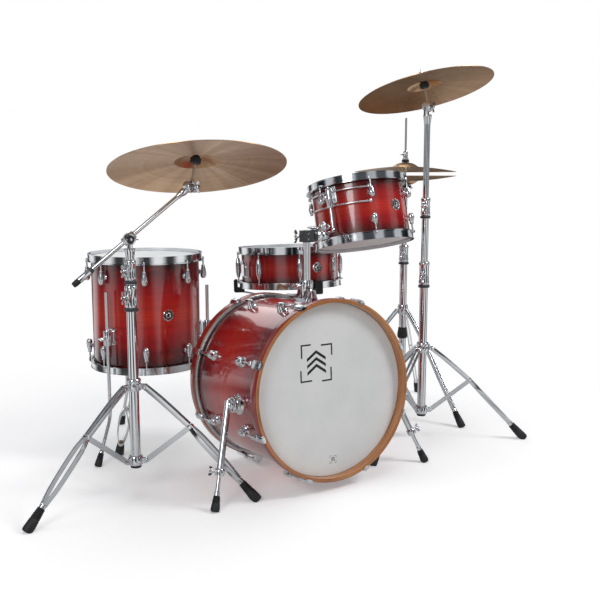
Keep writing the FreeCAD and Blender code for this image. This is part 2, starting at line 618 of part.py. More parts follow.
def stand_tubes(name, at, bracket, clamp_1, clamp_2, upper_top, middle_bottom, upper_bottom, wing_az):
    """Three telescoping tubes, each with the clamp that holds the next one."""
    middle_r = BASE_TUBE_R - TUBE_WALL - RUN
    upper_r = middle_r - TUBE_WALL - RUN
    base = placed(ring(middle_r + RUN, BASE_TUBE_R, TUBE_BOTTOM, clamp_1[1]), at)
    base = fused(base, *(bracket + tube_clamp(at, clamp_1, middle_r + RUN, BASE_TUBE_R, wing_az)))
    bore = Part.makeCylinder(middle_r + RUN, clamp_1[1] - TUBE_BOTTOM, Vec(0, 0, TUBE_BOTTOM))
    parts[name + "_base_tube"] = base.cut(placed(bore, at))
    middle = placed(ring(upper_r + RUN, middle_r, middle_bottom, clamp_2[1]), at)
    parts[name + "_middle_tube"] = fused(middle, *tube_clamp(at, clamp_2, upper_r + RUN, middle_r, wing_az))
    upper = placed(ring(upper_r - TUBE_WALL, upper_r, upper_bottom, upper_top), at)
    return upper, upper_r


def boom_stand():
    bracket = tripod("boom", BOOM_AT, BOOM_LEG_AZ)
    pivot = BOOM_AT + Vec(0, 0, BOOM_PIVOT_Z)
    reach = polar(BOOM_AZ, math.cos(math.radians(BOOM_LEAN)), math.sin(math.radians(BOOM_LEAN)))
    axis = polar(BOOM_AZ + 90, 1)
    cone_base = BOOM_PIVOT_Z - 44
    upper, upper_r = stand_tubes("boom", BOOM_AT, bracket, BOOM_CLAMP_1, BOOM_CLAMP_2, cone_base + 4, 250, 300, 215)
    cone = Part.makeCone(upper_r, 16, 26, BOOM_AT + Vec(0, 0, cone_base))
    cone = fused(cone, rod(pivot - axis * 12 - Vec(0, 0, 20), pivot - axis * 12, 9))
    cone = cone.common(rod(pivot - axis * 40 - Vec(0, 0, 10), pivot - axis * GAP - Vec(0, 0, 10), 60))
    knob = rod(pivot - axis * 34, pivot - axis * 11, 11)
    parts["boom_upper_tube"] = fused(upper, cone, fixed_disc(pivot, axis, 17), knob)
    line = pivot + axis * BOOM_OFFSET
    disc = rod(pivot, pivot + axis * 12, 17)
    sleeve = rod(line - reach * 20, line + reach * 20, BOOM_R + 6)
    screw = rod(line + axis * 8, line + axis * 26, 4)
    wing = placed(block(-16, 16, -3, 3, 0, 5), line + axis * 24, axis, reach)
    grip = fused(disc, sleeve, screw, wing).cut(rod(line - reach * 60, line + reach * 60, BOOM_R + RUN))
    parts["boom_tilter"] = grip
    end = line + reach * BOOM_REACH
    n = unit(RIDE_NORMAL)
    stem = unit(RIDE_STEM)
    hinge = unit(Vec(stem.y, -stem.x, 0))
    bar = rod(line - reach * BOOM_TAIL, end - reach * 12, BOOM_R)
    sheath = rod(line - reach * BOOM_TAIL, line - reach * (BOOM_TAIL - 55), BOOM_R + 2.5)
    parts["boom_rod"] = fused(bar, sheath, fixed_disc(end, hinge))
    bow, bell_h = 22.0, 22.0
    rock = math.degrees(math.acos(n.dot(stem)))
    hole = RIM_ABOVE_PIVOT + bow + bell_h
    parts["ride_tilter"], base = tilter(end, hinge, stem, hole, rock)
    middle = base + stem * (hole + CYMBAL_T / 2)
    parts["ride_cymbal"] = placed(cymbal(RIDE_R, bow, 66, bell_h), middle - n * (bow + bell_h + CYMBAL_T / 2), n)
    joints["boom_swivel"] = {"at": BOOM_AT, "axis": Z}
    joints["boom_tilt"] = {"at": pivot, "axis": axis * -1}
    joints["boom_slide"] = {"at": line, "axis": reach}
    joints["ride_tilt"] = {"at": end, "axis": hinge}
    joints["ride_spin"] = {"at": middle, "axis": n}


def crash_stand():
    bracket = tripod("crash", CRASH_AT, CRASH_LEG_AZ)
    pivot = CRASH_AT + Vec(0, 0, CRASH_PIVOT_Z)
    n = unit(CRASH_NORMAL)
    hinge = unit(Vec(n.y, -n.x, 0))
    cone_base = CRASH_PIVOT_Z - 50
    upper, upper_r = stand_tubes("crash", CRASH_AT, bracket, CRASH_CLAMP_1, CRASH_CLAMP_2, cone_base + 4, 300, 560, 215)
    cone = Part.makeCone(upper_r, 13, 34, CRASH_AT + Vec(0, 0, cone_base))
    cone = cone.common(rod(pivot - hinge * 40 - Vec(0, 0, 20), pivot - hinge * GAP - Vec(0, 0, 20), 60))
    parts["crash_upper_tube"] = fused(upper, cone, fixed_disc(pivot, hinge, 17))
    bow, bell_h = 20.0, 20.0
    parts["crash_tilter"], base = tilter(pivot, hinge, n, RIM_ABOVE_PIVOT + bow + bell_h)
    parts["crash_cymbal"] = placed(cymbal(CRASH_R, bow, 58, bell_h), base + n * RIM_ABOVE_PIVOT, n)
    joints["crash_tilt"] = {"at": pivot, "axis": hinge}
    joints["crash_spin"] = {"at": base, "axis": n}


# ---- hi-hat ---------------------------------------------------------------------------
def simple_tripod(at, leg_az, foot_r, hub_z, hub_r):
    """Fixed splayed legs in pairs of strips, with rubber feet, each a solid of its own."""
    shapes = []
    for i in range(3):
        azimuth = leg_az + 120 * i
        out = polar(azimuth, 1)
        outline = bar_outline((hub_r, hub_z), (foot_r - 30, hub_z * 30 / (foot_r - hub_r)), STRIP_W)
        foot = at + polar(azimuth, foot_r)
        slope = unit(polar(azimuth, foot_r - hub_r, -hub_z))
        leg = fused(plate(outline, 12, at, out), rod(foot - slope * 70, foot + slope * 2, 14))
        shapes.append(leg.cut(block(-2000, 2000, -2000, 2000, -80, 0)))
    return shapes


def hi_hat():
    at = HAT_AT
    upper_r = HAT_TUBE_R
    seat_z = HAT_RIM_Z - 34
    tube = placed(ring(upper_r + RUN, BASE_TUBE_R, 62, HAT_CLAMP[1]), at)
    leg_collar = placed(ring(BASE_TUBE_R - 1, BASE_TUBE_R + 6, 290, 420), at)
    base = fused(tube, leg_collar, *tube_clamp(at, HAT_CLAMP, upper_r + RUN, BASE_TUBE_R, 215))
    base = base.cut(placed(Part.makeCylinder(upper_r + RUN, 600, Vec(0, 0, 62)), at))
    legs = simple_tripod(at, HAT_LEG_AZ, HAT_FOOT_R, 402, BASE_TUBE_R + 8)
    legs = [leg.cut(base) for leg in legs]
    out = polar(HAT_PEDAL_AZ, 1)
    side = Z.cross(out)
    heel = placed(block(PEDAL_HEEL - 30, PEDAL_HEEL + 40, -PEDAL_W / 2, PEDAL_W / 2, 0, 14), at, Z, out)
    rails = [rod(at + out * (PEDAL_HEEL - 32) + side * s * 40 + Vec(0, 0, 7),
                 at + out * 20 + side * s * 18 + Vec(0, 0, 52), 5) for s in (-1, 1)]
    yoke = placed(block(-24, 24, -24, 24, 42, 61), at, Z, out)
    ears = [placed(block(PEDAL_HEEL - 8, PEDAL_HEEL + 8, s * 40 - 3, s * 40 + 3, 12, 42), at, Z, out) for s in (-1, 1)]
    pin_at = at + out * PEDAL_HEEL + Vec(0, 0, 34)
    pin = rod(pin_at - side * 44, pin_at + side * 44, PIN_R)
    frame_piece = fused(heel, yoke, *(rails + ears + [pin]))
    parts["hihat_base"] = group([base, frame_piece] + legs)

    toe_z = 192.0
    board = plate(bar_outline((PEDAL_HEEL - 6, 36), (PEDAL_TOE, toe_z), 10), PEDAL_W - 24, at, out)
    eye = rod(pin_at - side * 35, pin_at + side * 35, 8)
    parts["hihat_footboard"] = fused(board, eye).cut(rod(pin_at - side * 60, pin_at + side * 60, PIN_R + RUN))
    joints["hihat_pedal"] = {"at": pin_at, "axis": side * -1}

    upper = placed(ring(upper_r - TUBE_WALL, upper_r, 400, seat_z - 6), at)
    cup = placed(ring(STEM_R + RUN, 30, seat_z - 8, seat_z), at)
    seat_felt = placed(ring(STEM_R + RUN, 24, seat_z, seat_z + 8), at)
    parts["hihat_upper_tube"] = fused(upper, cup, seat_felt)
    bow, bell_h = 18.0, 16.0
    shape = cymbal(HAT_R, bow, 48, bell_h)
    low = placed(shape.mirror(Vec(0, 0, 0), Z), at + Vec(0, 0, HAT_RIM_Z))
    low.translate(Vec(0, 0, seat_z + 8 + SEAT - (HAT_RIM_Z - bow - bell_h - CYMBAL_T)))
    parts["hihat_bottom_cymbal"] = low
    rim = HAT_RIM_Z + (seat_z + 8 + SEAT - (HAT_RIM_Z - bow - bell_h - CYMBAL_T)) + HAT_OPEN
    parts["hihat_top_cymbal"] = placed(shape, at + Vec(0, 0, rim))
    hole = rim + bow + bell_h
    stem = rod(at + Vec(0, 0, HAT_ROD_BOTTOM), at + Vec(0, 0, HAT_ROD_TOP), STEM_R)
    pieces = [placed(Part.makeCylinder(r, z1 - z0, Vec(0, 0, z0)), at) for r, z0, z1 in
              ((CYMBAL_HOLE_R - SEAT, hole - 10, hole + 30), (15, hole - 12, hole - FELT_DROP),
               (15, hole + CYMBAL_T + GAP, hole + 12), (9, hole + 12, hole + 44))]
    wing = placed(block(7, 30, -3, 3, hole + 24, hole + 36), at, Z, polar(215, 1))
    parts["hihat_rod"] = fused(stem, wing, *pieces)


# ---- snare drum and its stand ------------------------------------------------------------
def snare():
    tilt = math.radians(SNARE_TILT)
    axis = Vec(0, math.sin(tilt), math.cos(tilt))
    bottom = Vec(SNARE_AT)

    def place(shape):
        return placed(shape, bottom, axis, X)

    hardware = tensioned_drum("snare", SNARE_R, SNARE_H, 8, SNARE_LUG_AZ, 62, 271, place)
    parts["snare_hardware"] = place(group(hardware))
    strainer_az = SNARE_LUG_AZ - 67.5
    box = block(SNARE_R - 6, SNARE_R + 16, -14, 14, 30, 74)
    box = box.cut(Part.makeCylinder(SNARE_R, 60, Vec(0, 0, 20)))
    box.rotate(Vec(0, 0, 0), Z, strainer_az)
    parts["snare_hardware"] = group([parts["snare_hardware"], place(box)])
    knuckle = Part.makeCylinder(LEVER_KNUCKLE_R, 18, Vec(LEVER_PIVOT_R, -9, LEVER_PIVOT_Z), Vec(0, 1, 0))
    lever = fused(block(SNARE_R + 16 + GAP, SNARE_R + 24, -9, 9, LEVER_PIVOT_Z, 92), knuckle,
                  block(SNARE_R + 22, SNARE_R + 30, -9, 9, 84, 92))
    lever.rotate(Vec(0, 0, 0), Z, strainer_az)
    parts["snare_strainer_lever"] = place(lever)
    hinge_at = place(Part.Vertex(polar(strainer_az, LEVER_PIVOT_R, LEVER_PIVOT_Z))).Vertexes[0].Point
    across = Z.cross(polar(strainer_az, 1))
    joints["snare_strainer_throw"] = {"at": hinge_at, "axis": X * across.x + axis.cross(X) * across.y}

    reach_z = SNARE_AT.z - SNARE_HUB_Z
    hub = bottom - axis * reach_z
    hub_z = hub.z
    at = Vec(hub.x, hub.y, 0)
    tube_r = BASE_TUBE_R - TUBE_WALL - RUN
    base = fused(placed(ring(tube_r + RUN, BASE_TUBE_R, 60, 330), at),
                 placed(ring(BASE_TUBE_R - 1, BASE_TUBE_R + 6, 226, 262), at),
                 *tube_clamp(at, (292.0, 330.0), tube_r + RUN, BASE_TUBE_R, 215))
    base = base.cut(placed(Part.makeCylinder(tube_r + RUN, 290, Vec(0, 0, 50)), at))
    legs = [leg.cut(base) for leg in simple_tripod(at, 30, SNARE_LEG_R, 246, BASE_TUBE_R + 8)]
    parts["snare_stand_base"] = group([base] + legs)
    tube = placed(ring(tube_r - TUBE_WALL, tube_r, 150, hub_z - 30), at)
    fork = placed(Part.makeCylinder(tube_r, 16, Vec(0, 0, hub_z - 32)), at)
    cheek = block(-12, -GAP, -8, 8, -20, 0)
    cheek.translate(hub)
    parts["snare_stand_tube"] = fused(tube, fork, fixed_disc(hub, X), cheek)
    joints["snare_basket_tilt"] = {"at": hub, "axis": X}
    hoop_out = hoop_flange(SNARE_R)
    disc = rod(hub, hub + X * 12, 15)
    neck = rod(hub + X * 6, hub + X * 6 + axis * 20, 5)
    centre = fused(disc, neck, placed(Part.makeCylinder(20, 10), hub + axis * 18, axis, X))
    arms = []
    for i in range(3):
        azimuth = BASKET_AZ + 120 * i
        out = polar(azimuth, 1)
        arm = plate(bar_outline((18, 23), (hoop_out - 6, reach_z - HOOP_RISE - 16), 9), 12, Vec(0, 0, 0), out)
        tip = placed(block(hoop_out - 26, hoop_out + 14, -14, 14, reach_z - HOOP_RISE - 20, reach_z - HOOP_RISE - SEAT),
                     Vec(0, 0, 0), Z, out)
        wall = placed(block(hoop_out + SEAT, hoop_out + 14, -14, 14, reach_z - HOOP_RISE - 20, reach_z + 30),
                      Vec(0, 0, 0), Z, out)
        arms.append(placed(fused(arm, tip, wall), hub, axis, X).cut(centre))
    parts["snare_basket"] = group([centre] + arms)


# ---- the kit ---------------------------------------------------------------------------
bass_drum()
floor_tom()
rack_tom()
boom_stand()
crash_stand()
hi_hat()
snare()

box = FreeCAD.BoundBox()
for shape in parts.values():
    box.add(shape.optimalBoundingBox(False))
shift = Vec(-(box.XMin + box.XMax) / 2, -(box.YMin + box.YMax) / 2, -box.ZMin)

os.makedirs("parts", exist_ok=True)
for name, shape in parts.items():
    shape.translate(shift)
    shape.exportStep("parts/%s.step" % name)
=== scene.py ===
import json
import math

import bmesh
import bpy
from bpy.props import FloatProperty, IntProperty, PointerProperty, StringProperty
from mathutils import Matrix, Vector


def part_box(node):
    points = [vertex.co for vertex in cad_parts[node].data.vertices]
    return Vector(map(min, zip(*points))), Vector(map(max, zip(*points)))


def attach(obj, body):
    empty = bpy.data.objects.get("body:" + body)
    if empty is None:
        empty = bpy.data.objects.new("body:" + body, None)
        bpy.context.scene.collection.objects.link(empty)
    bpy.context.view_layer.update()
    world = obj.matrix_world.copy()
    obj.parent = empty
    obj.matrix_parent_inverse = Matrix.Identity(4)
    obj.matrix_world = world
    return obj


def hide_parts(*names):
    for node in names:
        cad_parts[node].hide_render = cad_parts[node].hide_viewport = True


bl_info = {
    "name": "Acoustic drum kit",
    "version": (1, 0, 0),
    "blender": (4, 5, 0),
    "location": "3D View > Sidebar > Drum kit",
    "description": "Finishes a drum kit's shells, hoops, lugs, cymbals and stands around its CAD frame",
    "category": "Object",
}

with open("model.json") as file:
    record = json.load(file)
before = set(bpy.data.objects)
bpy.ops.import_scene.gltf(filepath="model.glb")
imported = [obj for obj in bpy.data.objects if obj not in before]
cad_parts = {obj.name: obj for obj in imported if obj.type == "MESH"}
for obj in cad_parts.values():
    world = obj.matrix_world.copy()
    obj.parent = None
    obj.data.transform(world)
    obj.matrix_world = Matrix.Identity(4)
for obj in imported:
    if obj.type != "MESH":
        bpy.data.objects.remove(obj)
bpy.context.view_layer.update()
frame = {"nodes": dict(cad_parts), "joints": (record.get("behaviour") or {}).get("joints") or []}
JOINTS = {joint["name"]: joint for joint in frame["joints"]}

MM = 0.001
UP = Vector((0, 0, 1))
RIGHT = Vector((1, 0, 0))
ORIGIN = Vector((0, 0, 0))
BACK = Vector((0, 1, 0))                               # towards the player
SHARP = math.radians(38)                               # faces that meet at more than this keep their edge
ON_EDGE = Matrix.Rotation(math.radians(90), 4, "X")    # stands an outline up, so that its Y is height
OUTWARD = Matrix.Rotation(math.radians(90), 4, "Y")    # turns what stands along Z to point along X
UNSCALED = Matrix.Scale(1 / MM, 4)                     # takes back the scale that stood() brings in


# ---- places: everything is read from the frame -------------------------------------------
def middle(node):
    low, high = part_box(node)
    return (Vector(low) + Vector(high)) / 2


def joint_at(name):
    return Vector(JOINTS[name]["pos_m"])


def joint_axis(name):
    return Vector(JOINTS[name]["axis"]).normalized()


def stood(at, z_axis=UP, x_axis=RIGHT):
    z = Vector(z_axis).normalized()
    y = z.cross(Vector(x_axis)).normalized()
    x = y.cross(z)
    turn = Matrix((x, y, z)).transposed().to_4x4()
    return Matrix.Translation(at) @ turn @ Matrix.Scale(MM, 4)


def azimuth_of(out):
    """Degrees from +X, anticlockwise, of a level direction."""
    return math.degrees(math.atan2(out.y, out.x))


def polar(azimuth, radius, height=0.0):
    angle = math.radians(azimuth)
    return Vector((radius * math.cos(angle), radius * math.sin(angle), height))


def leaned(degrees):
    """Up, leaned towards the player by that angle."""
    return Vector((0, math.sin(math.radians(degrees)), math.cos(math.radians(degrees))))


# ---- mesh tools --------------------------------------------------------------------------
class Shape:
    """Closed shells gathered for one piece, each with its material."""

    def __init__(self):
        self.points, self.faces, self.marks, self.materials = [], [], [], []

    def add(self, place, points, faces, material):
        if material not in self.materials:
            self.materials.append(material)
        start = len(self.points)
        self.points += [place @ Vector(p) for p in points]
        self.faces += [[start + i for i in face] for face in faces]
        self.marks += [self.materials.index(material)] * len(faces)

    def mirrored(self, material):
        """Adds the shape's own image in the plane Z = 0."""
        image = [(p.x, p.y, -p.z) for p in self.points]
        self.add(Matrix(), image, [tuple(face) for face in self.faces], material)

    def mesh(self, name):
        mesh = bpy.data.meshes.new(name)
        mesh.from_pydata(self.points, [], self.faces)
        mesh.polygons.foreach_set("material_index", self.marks)
        for material in self.materials:
            mesh.materials.append(material)
        work = bmesh.new()
        work.from_mesh(mesh)
        bmesh.ops.recalc_face_normals(work, faces=work.faces)
        work.to_mesh(mesh)
        work.free()
        mesh.shade_smooth()
        mesh.set_sharp_from_angle(angle=SHARP)
        return mesh

    def object(self, name):
        piece = bpy.data.objects.new(name, self.mesh(name))
        bpy.context.scene.collection.objects.link(piece)
        return piece

    def piece(self, name, body, slot, *nodes):
        """Makes the object, lets it ride on its body and hides the CAD nodes that it stands for."""
        finished(self.object(name), body, slot, *nodes)


def finished(made, body, slot, *nodes):
    if len(made.data.polygons) == 0:
        raise RuntimeError(made.name + " has no faces")
    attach(made, body)
    if nodes:
        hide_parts(*nodes)


def skin(rows, count, closed=False):
    """Quads between rows of `count` points each; a closed skin joins its last row to its first."""
    faces = []
    for i in range(rows if closed else rows - 1):
        after = (i + 1) % rows
        for j in range(count):
            k = (j + 1) % count
            faces.append((i * count + j, i * count + k, after * count + k, after * count + j))
    return faces


def turned(shape, place, outline, material, steps=36, hollow=False):
    """Turns an outline of (radius, height) about Z; a hollow one joins its last point to its first."""
    rings, points, faces = [], [], []
    for radius, height in outline:
        if radius < 1e-6:
            rings.append([len(points)])
            points.append((0, 0, height))
        else:
            rings.append(list(range(len(points), len(points) + steps)))
            points += [polar(360.0 * i / steps, radius, height) for i in range(steps)]
    pairs = list(zip(rings, rings[1:]))
    if hollow:
        pairs.append((rings[-1], rings[0]))
    for low, high in pairs:
        for i in range(steps):
            j = (i + 1) % steps
            if len(low) == 1 and len(high) > 1:
                faces.append((low[0], high[j], high[i]))
            elif len(high) == 1 and len(low) > 1:
                faces.append((low[i], low[j], high[0]))
            elif len(low) > 1:
                faces.append((low[i], low[j], high[j], high[i]))
    if not hollow:
        for ring in (rings[0], rings[-1]):
            if len(ring) > 1:
                faces.append(ring)
    shape.add(place, points, faces, material)


def peg(shape, place, start, end, radius, material, edge=0.6, steps=20):
    """A round bar between two points with softened ends."""
    start, end = Vector(start), Vector(end)
    run = end - start
    side = RIGHT if abs(run.normalized().x) < 0.9 else UP
    z = run.normalized()
    y = z.cross(side).normalized()
    turn = Matrix((y.cross(z), y, z)).transposed().to_4x4()
    edge = min(edge, radius / 2, run.length / 3)
    outline = [(radius - edge, 0), (radius, edge), (radius, run.length - edge),
               (radius - edge, run.length)]
    turned(shape, place @ Matrix.Translation(start) @ turn, outline, material, steps)


def sleeve(shape, place, inner, outer, low, high, material, edge=0.8, steps=40):
    """A hollow tube with softened mouths."""
    outline = [(inner, low), (outer - edge, low), (outer, low + edge), (outer, high - edge),
               (outer - edge, high), (inner, high)]
    turned(shape, place, outline, material, steps, hollow=True)


def swept(shape, place, path, section, material, side=None):
    """Carries a section of (across, along the normal) points down a path; `side` fixes what across is."""
    path = [Vector(p) for p in path]
    points, count = [], len(section)
    across = None
    for i, at in enumerate(path):
        ahead = (path[min(i + 1, len(path) - 1)] - path[max(i - 1, 0)]).normalized()
        if side is not None:
            across = Vector(side)
        elif across is None:
            across = ahead.cross(UP if abs(ahead.z) < 0.9 else RIGHT)
        across = (across - ahead * across.dot(ahead)).normalized()
        normal = ahead.cross(across)
        points += [at + across * u + normal * v for u, v in section]
    caps = [list(range(count)), list(range((len(path) - 1) * count, len(path) * count))]
    shape.add(place, points, skin(len(path), count) + caps, material)


def circle(radius, steps=16):
    return [polar(360.0 * i / steps, radius)[:2] for i in range(steps)]


def curved(control, steps=12):
    """Points on a smooth curve through the control points."""
    control = [Vector(c) for c in control]
    ends = [control[0] * 2 - control[1]] + control + [control[-1] * 2 - control[-2]]
    path = []
    for a, b, c, d in zip(ends, ends[1:], ends[2:], ends[3:]):
        for i in range(steps):
            t = i / steps
            path.append((b * 2 + (c - a) * t + (a * 2 - b * 5 + c * 4 - d) * t * t
                         + (b * 3 - a - c * 3 + d) * t * t * t) / 2)
    return path + [control[-1]]


def rounded(corners, radius, steps=4):
    """A flat outline with its corners rounded off."""
    outline, count = [], len(corners)
    for i in range(count):
        before, at, after = (Vector(corners[(i + k) % count]) for k in (-1, 0, 1))
        cut = min(radius, (before - at).length * 0.45, (after - at).length * 0.45)
        start = at + (before - at).normalized() * cut
        end = at + (after - at).normalized() * cut
        for k in range(steps + 1):
            t = k / steps
            outline.append((start * (1 - t) + at * t) * (1 - t) + (at * (1 - t) + end * t) * t)
    return outline


def slab(shape, place, outline, low, high, material, edge=0.8):
    """A flat outline given thickness along Z, with softened edges."""
    outline = [Vector(p).to_2d() for p in outline]
    count = len(outline)
    area = sum(outline[i].cross(outline[(i + 1) % count]) for i in range(count))
    sign = 1 if area > 0 else -1
    inner = []
    for i in range(count):
        before = (outline[i] - outline[i - 1]).normalized()
        after = (outline[(i + 1) % count] - outline[i]).normalized()
        normal = Vector((-before.y - after.y, before.x + after.x)).normalized() * sign
        inner.append(outline[i] + normal * edge)
    layers = [(inner, low), (outline, low + edge), (outline, high - edge), (inner, high)]
    points = [(p.x, p.y, height) for layer, height in layers for p in layer]
    caps = [list(range(count)), list(range(3 * count, 4 * count))]
    shape.add(place, points, caps + skin(len(layers), count), material)


def brick(shape, place, low, high, material, radius=2.0, edge=0.8):
    """A block between two corners with rounded upright edges."""
    corners = [(low[0], low[1]), (high[0], low[1]), (high[0], high[1]), (low[0], high[1])]
    slab(shape, place, rounded(corners, radius, 3), low[2], high[2], material, edge)


def turn_about_z(degrees):
    return Matrix.Rotation(math.radians(degrees), 4, "Z")


def wing_screw(shape, place, at, out, along, size, material):
    """A screw that leaves `at` along `out`, with a round hub and two teardrop wings spread along `along`."""
    local = place @ Matrix.Translation(at) @ stood(ORIGIN, out, along) @ UNSCALED
    reach = size * 0.9
    turned(shape, local, [(0, -2), (3.2, -2), (3.2, reach - 7), (5.2, reach - 6), (6.4, reach - 2),
                          (6.4, reach + 4), (4.6, reach + 7), (0, reach + 7.6)], material, 18)
    wing = [(3, reach - 4), (size * 0.55, reach - 2), (size * 0.95, reach + 2), (size, reach + 7),
            (size * 0.86, reach + 11), (size * 0.6, reach + 10), (3, reach + 4)]
    upright = local @ ON_EDGE
    for sign in (1, -1):
        outline = [(x * sign, y) for x, y in rounded(wing, 4, 3)]
        slab(shape, upright, outline, -1.7, 1.7, material, 1.1)


def clamp(shape, place, inner, outer, span, azimuth, material, size=18):
    """A cast clamp round a tube's mouth: rounded body, split lug, bolt and wing screw."""
    low, high = span
    body = outer + 4
    outline = [(inner, low), (body - 2.6, low), (body - 0.4, low + 3), (body, low + 6), (body, low + 12),
               (body - 1.4, low + 15), (body - 1.4, high - 15), (body, high - 12), (body, high - 5),
               (body - 1.6, high - 1.4), (body - 3.4, high), (inner, high)]
    turned(shape, place, outline, material, 44, hollow=True)
    sleeve(shape, place, outer, outer + 5.4, low - 9, low - 1, finish("nylon"))
    mid = (low + high) / 2
    spun = place @ turn_about_z(azimuth)
    upright = spun @ ON_EDGE
    lug = [(inner + 2.5, mid - 17), (outer + 7, mid - 17), (outer + 12, mid - 8), (outer + 12, mid + 8),
           (outer + 7, mid + 17), (inner + 2.5, mid + 17)]
    for side in (-1, 1):
        edges = sorted((side * 1.0, side * 8.0))
        slab(shape, upright, rounded(lug, 6, 4), edges[0], edges[1], material, 1.2)
    peg(shape, spun, (outer + 6.5, -11, mid), (outer + 6.5, 11, mid), 4.2, material)
    wing_screw(shape, spun, Vector((outer + 6, 0, mid)), RIGHT, UP, size, material)


def rubber_foot(shape, place, foot, along, length, radius, rubber, metal, ribs=6):
    """A ribbed rubber foot, pressed flat where it meets the floor, and its ferrule. `along` points down."""
    along = Vector(along).normalized()
    start = Vector(foot) - along * length
    local = place @ Matrix.Translation(start) @ stood(ORIGIN, along, UP.cross(along)) @ UNSCALED
    outline = [(0, 0), (radius * 0.56, 0), (radius * 0.62, 2)]
    ribbed = length * 0.45
    for i in range(ribs):
        base = 3 + i * (ribbed - 3) / ribs
        step = (ribbed - 3) / ribs
        swell = radius * (0.66 + 0.16 * i / ribs)
        rib = swell + radius * 0.1
        outline += [(swell, base), (rib, base + step * 0.25), (rib, base + step * 0.6),
                    (swell, base + step * 0.85)]
    outline += [(radius * 0.9, ribbed + 3), (radius * 0.98, length * 0.75), (radius, length - 7),
                (radius * 0.9, length - 2), (radius * 0.5, length - 0.4), (0, length)]
    points, steps = [], 28
    flat = local.inverted()
    for r, h in outline:
        for i in range(steps):
            at = local @ polar(360.0 * i / steps, max(r, 0.01), h)
            at.z = max(at.z, 0.0)
            points.append(flat @ at)
    caps = [list(range(steps)), list(range(len(points) - steps, len(points)))]
    shape.add(local, points, skin(len(outline), steps) + caps, rubber)
    turned(shape, local, [(0, -10), (radius * 0.48, -10), (radius * 0.62, -8), (radius * 0.64, 1.5),
                          (0, 1.5)], metal, 24)


def hinge_disc(shape, place, material, radius=17, land=1.6, flat=9.6, steps=40):
    """Half of a tilting hinge: a disc whose inner face leaves 0.4 mm for its twin."""
    turned(shape, place, [(0, 0.4), (radius - land, 0.4), (radius, 2), (radius, flat),
                          (radius - 2, 12), (0, 12)], material, steps)


# ---- pieces that repeat, by geometry nodes -------------------------------------------------
def input_of(tree, name):
    return next(item.identifier for item in tree.interface.items_tree
                if item.name == name and item.in_out == "INPUT")


def node(tree, kind, settings=None, values=None, links=None):
    """Adds one node with its settings, the values of its inputs and the links into them."""
    made = tree.nodes.new(kind)
    for name, value in (settings or {}).items():
        setattr(made, name, value)
    for name, value in (values or {}).items():
        made.inputs[name].default_value = value
    for name, source in (links or {}).items():
        tree.links.new(source, made.inputs[name])
    return made


def repeat_tree(title):
    """What both repeats share: the inputs, the points, each copy's turn or shift, and the piece."""
    tree = bpy.data.node_groups.new(title, "GeometryNodeTree")
    for name, kind in (("Geometry", "Geometry"), ("Piece", "Object"), ("Count", "Int"), ("First", "Float"),
                       ("Step", "Float"), ("Finish", "Material")):
        tree.interface.new_socket(name, in_out="INPUT", socket_type="NodeSocket" + kind)
    tree.interface.new_socket("Geometry", in_out="OUTPUT", socket_type="NodeSocketGeometry")
    given = node(tree, "NodeGroupInput").outputs
    points = node(tree, "GeometryNodePoints", links={"Count": given["Count"]})
    index = node(tree, "GeometryNodeInputIndex")
    amount = node(tree, "ShaderNodeMath", {"operation": "MULTIPLY_ADD"})
    for slot, source in zip((0, 1, 2), (index.outputs[0], given["Step"], given["First"])):
        tree.links.new(source, amount.inputs[slot])
    piece = node(tree, "GeometryNodeObjectInfo", links={"Object": given["Piece"]})
    return tree, given, points.outputs[0], amount.outputs[0], piece.outputs["Geometry"]


def finish_tree(tree, given, geometry):
    """Makes the copies real and gives them their finish."""
    real = node(tree, "GeometryNodeRealizeInstances", links={"Geometry": geometry})
    painted = node(tree, "GeometryNodeSetMaterial",
                   links={"Geometry": real.outputs[0], "Material": given["Finish"]})
    node(tree, "NodeGroupOutput", links={"Geometry": painted.outputs[0]})
    return tree


def round_tree():
    """Copies of a piece turned about Z, for lugs, claws and rods."""
    tree, given, points, amount, piece = repeat_tree("Round a drum")
    turn = node(tree, "ShaderNodeCombineXYZ", links={"Z": amount})
    copies = node(tree, "GeometryNodeInstanceOnPoints",
                  links={"Points": points, "Instance": piece, "Rotation": turn.outputs[0]})
    return finish_tree(tree, given, copies.outputs[0])


def row_tree():
    """Copies of a piece one after another along Z, for ribs."""
    tree, given, points, amount, piece = repeat_tree("Along a line")
    shift = node(tree, "ShaderNodeCombineXYZ", links={"Z": amount})
    moved = node(tree, "GeometryNodeSetPosition", links={"Geometry": points, "Position": shift.outputs[0]})
    copies = node(tree, "GeometryNodeInstanceOnPoints",
                  links={"Points": moved.outputs[0], "Instance": piece})
    return finish_tree(tree, given, copies.outputs[0])


def repeated(tree, shape, name, place, count, first, step, material):
    """Runs a repeat tree on a shape drawn about the origin and gives back one plain mesh object."""
    source = shape.object(name + "_one")
    holder = bpy.data.objects.new(name + "_tree", bpy.data.meshes.new(name + "_tree"))
    bpy.context.scene.collection.objects.link(holder)
    modifier = holder.modifiers.new("Repeat", "NODES")
    modifier.node_group = tree
    for title, value in (("Piece", source), ("Count", count), ("First", first), ("Step", step),
                         ("Finish", material)):
        modifier[input_of(tree, title)] = value
    holder.update_tag()
    bpy.context.view_layer.update()
    seen = holder.evaluated_get(bpy.context.evaluated_depsgraph_get())
    mesh = bpy.data.meshes.new_from_object(seen)
    holder.modifiers.clear()
    bpy.data.objects.remove(holder)
    bpy.data.objects.remove(source)
    mesh.transform(place)
    mesh.name = name
    made = bpy.data.objects.new(name, mesh)
    bpy.context.scene.collection.objects.link(made)
    return made


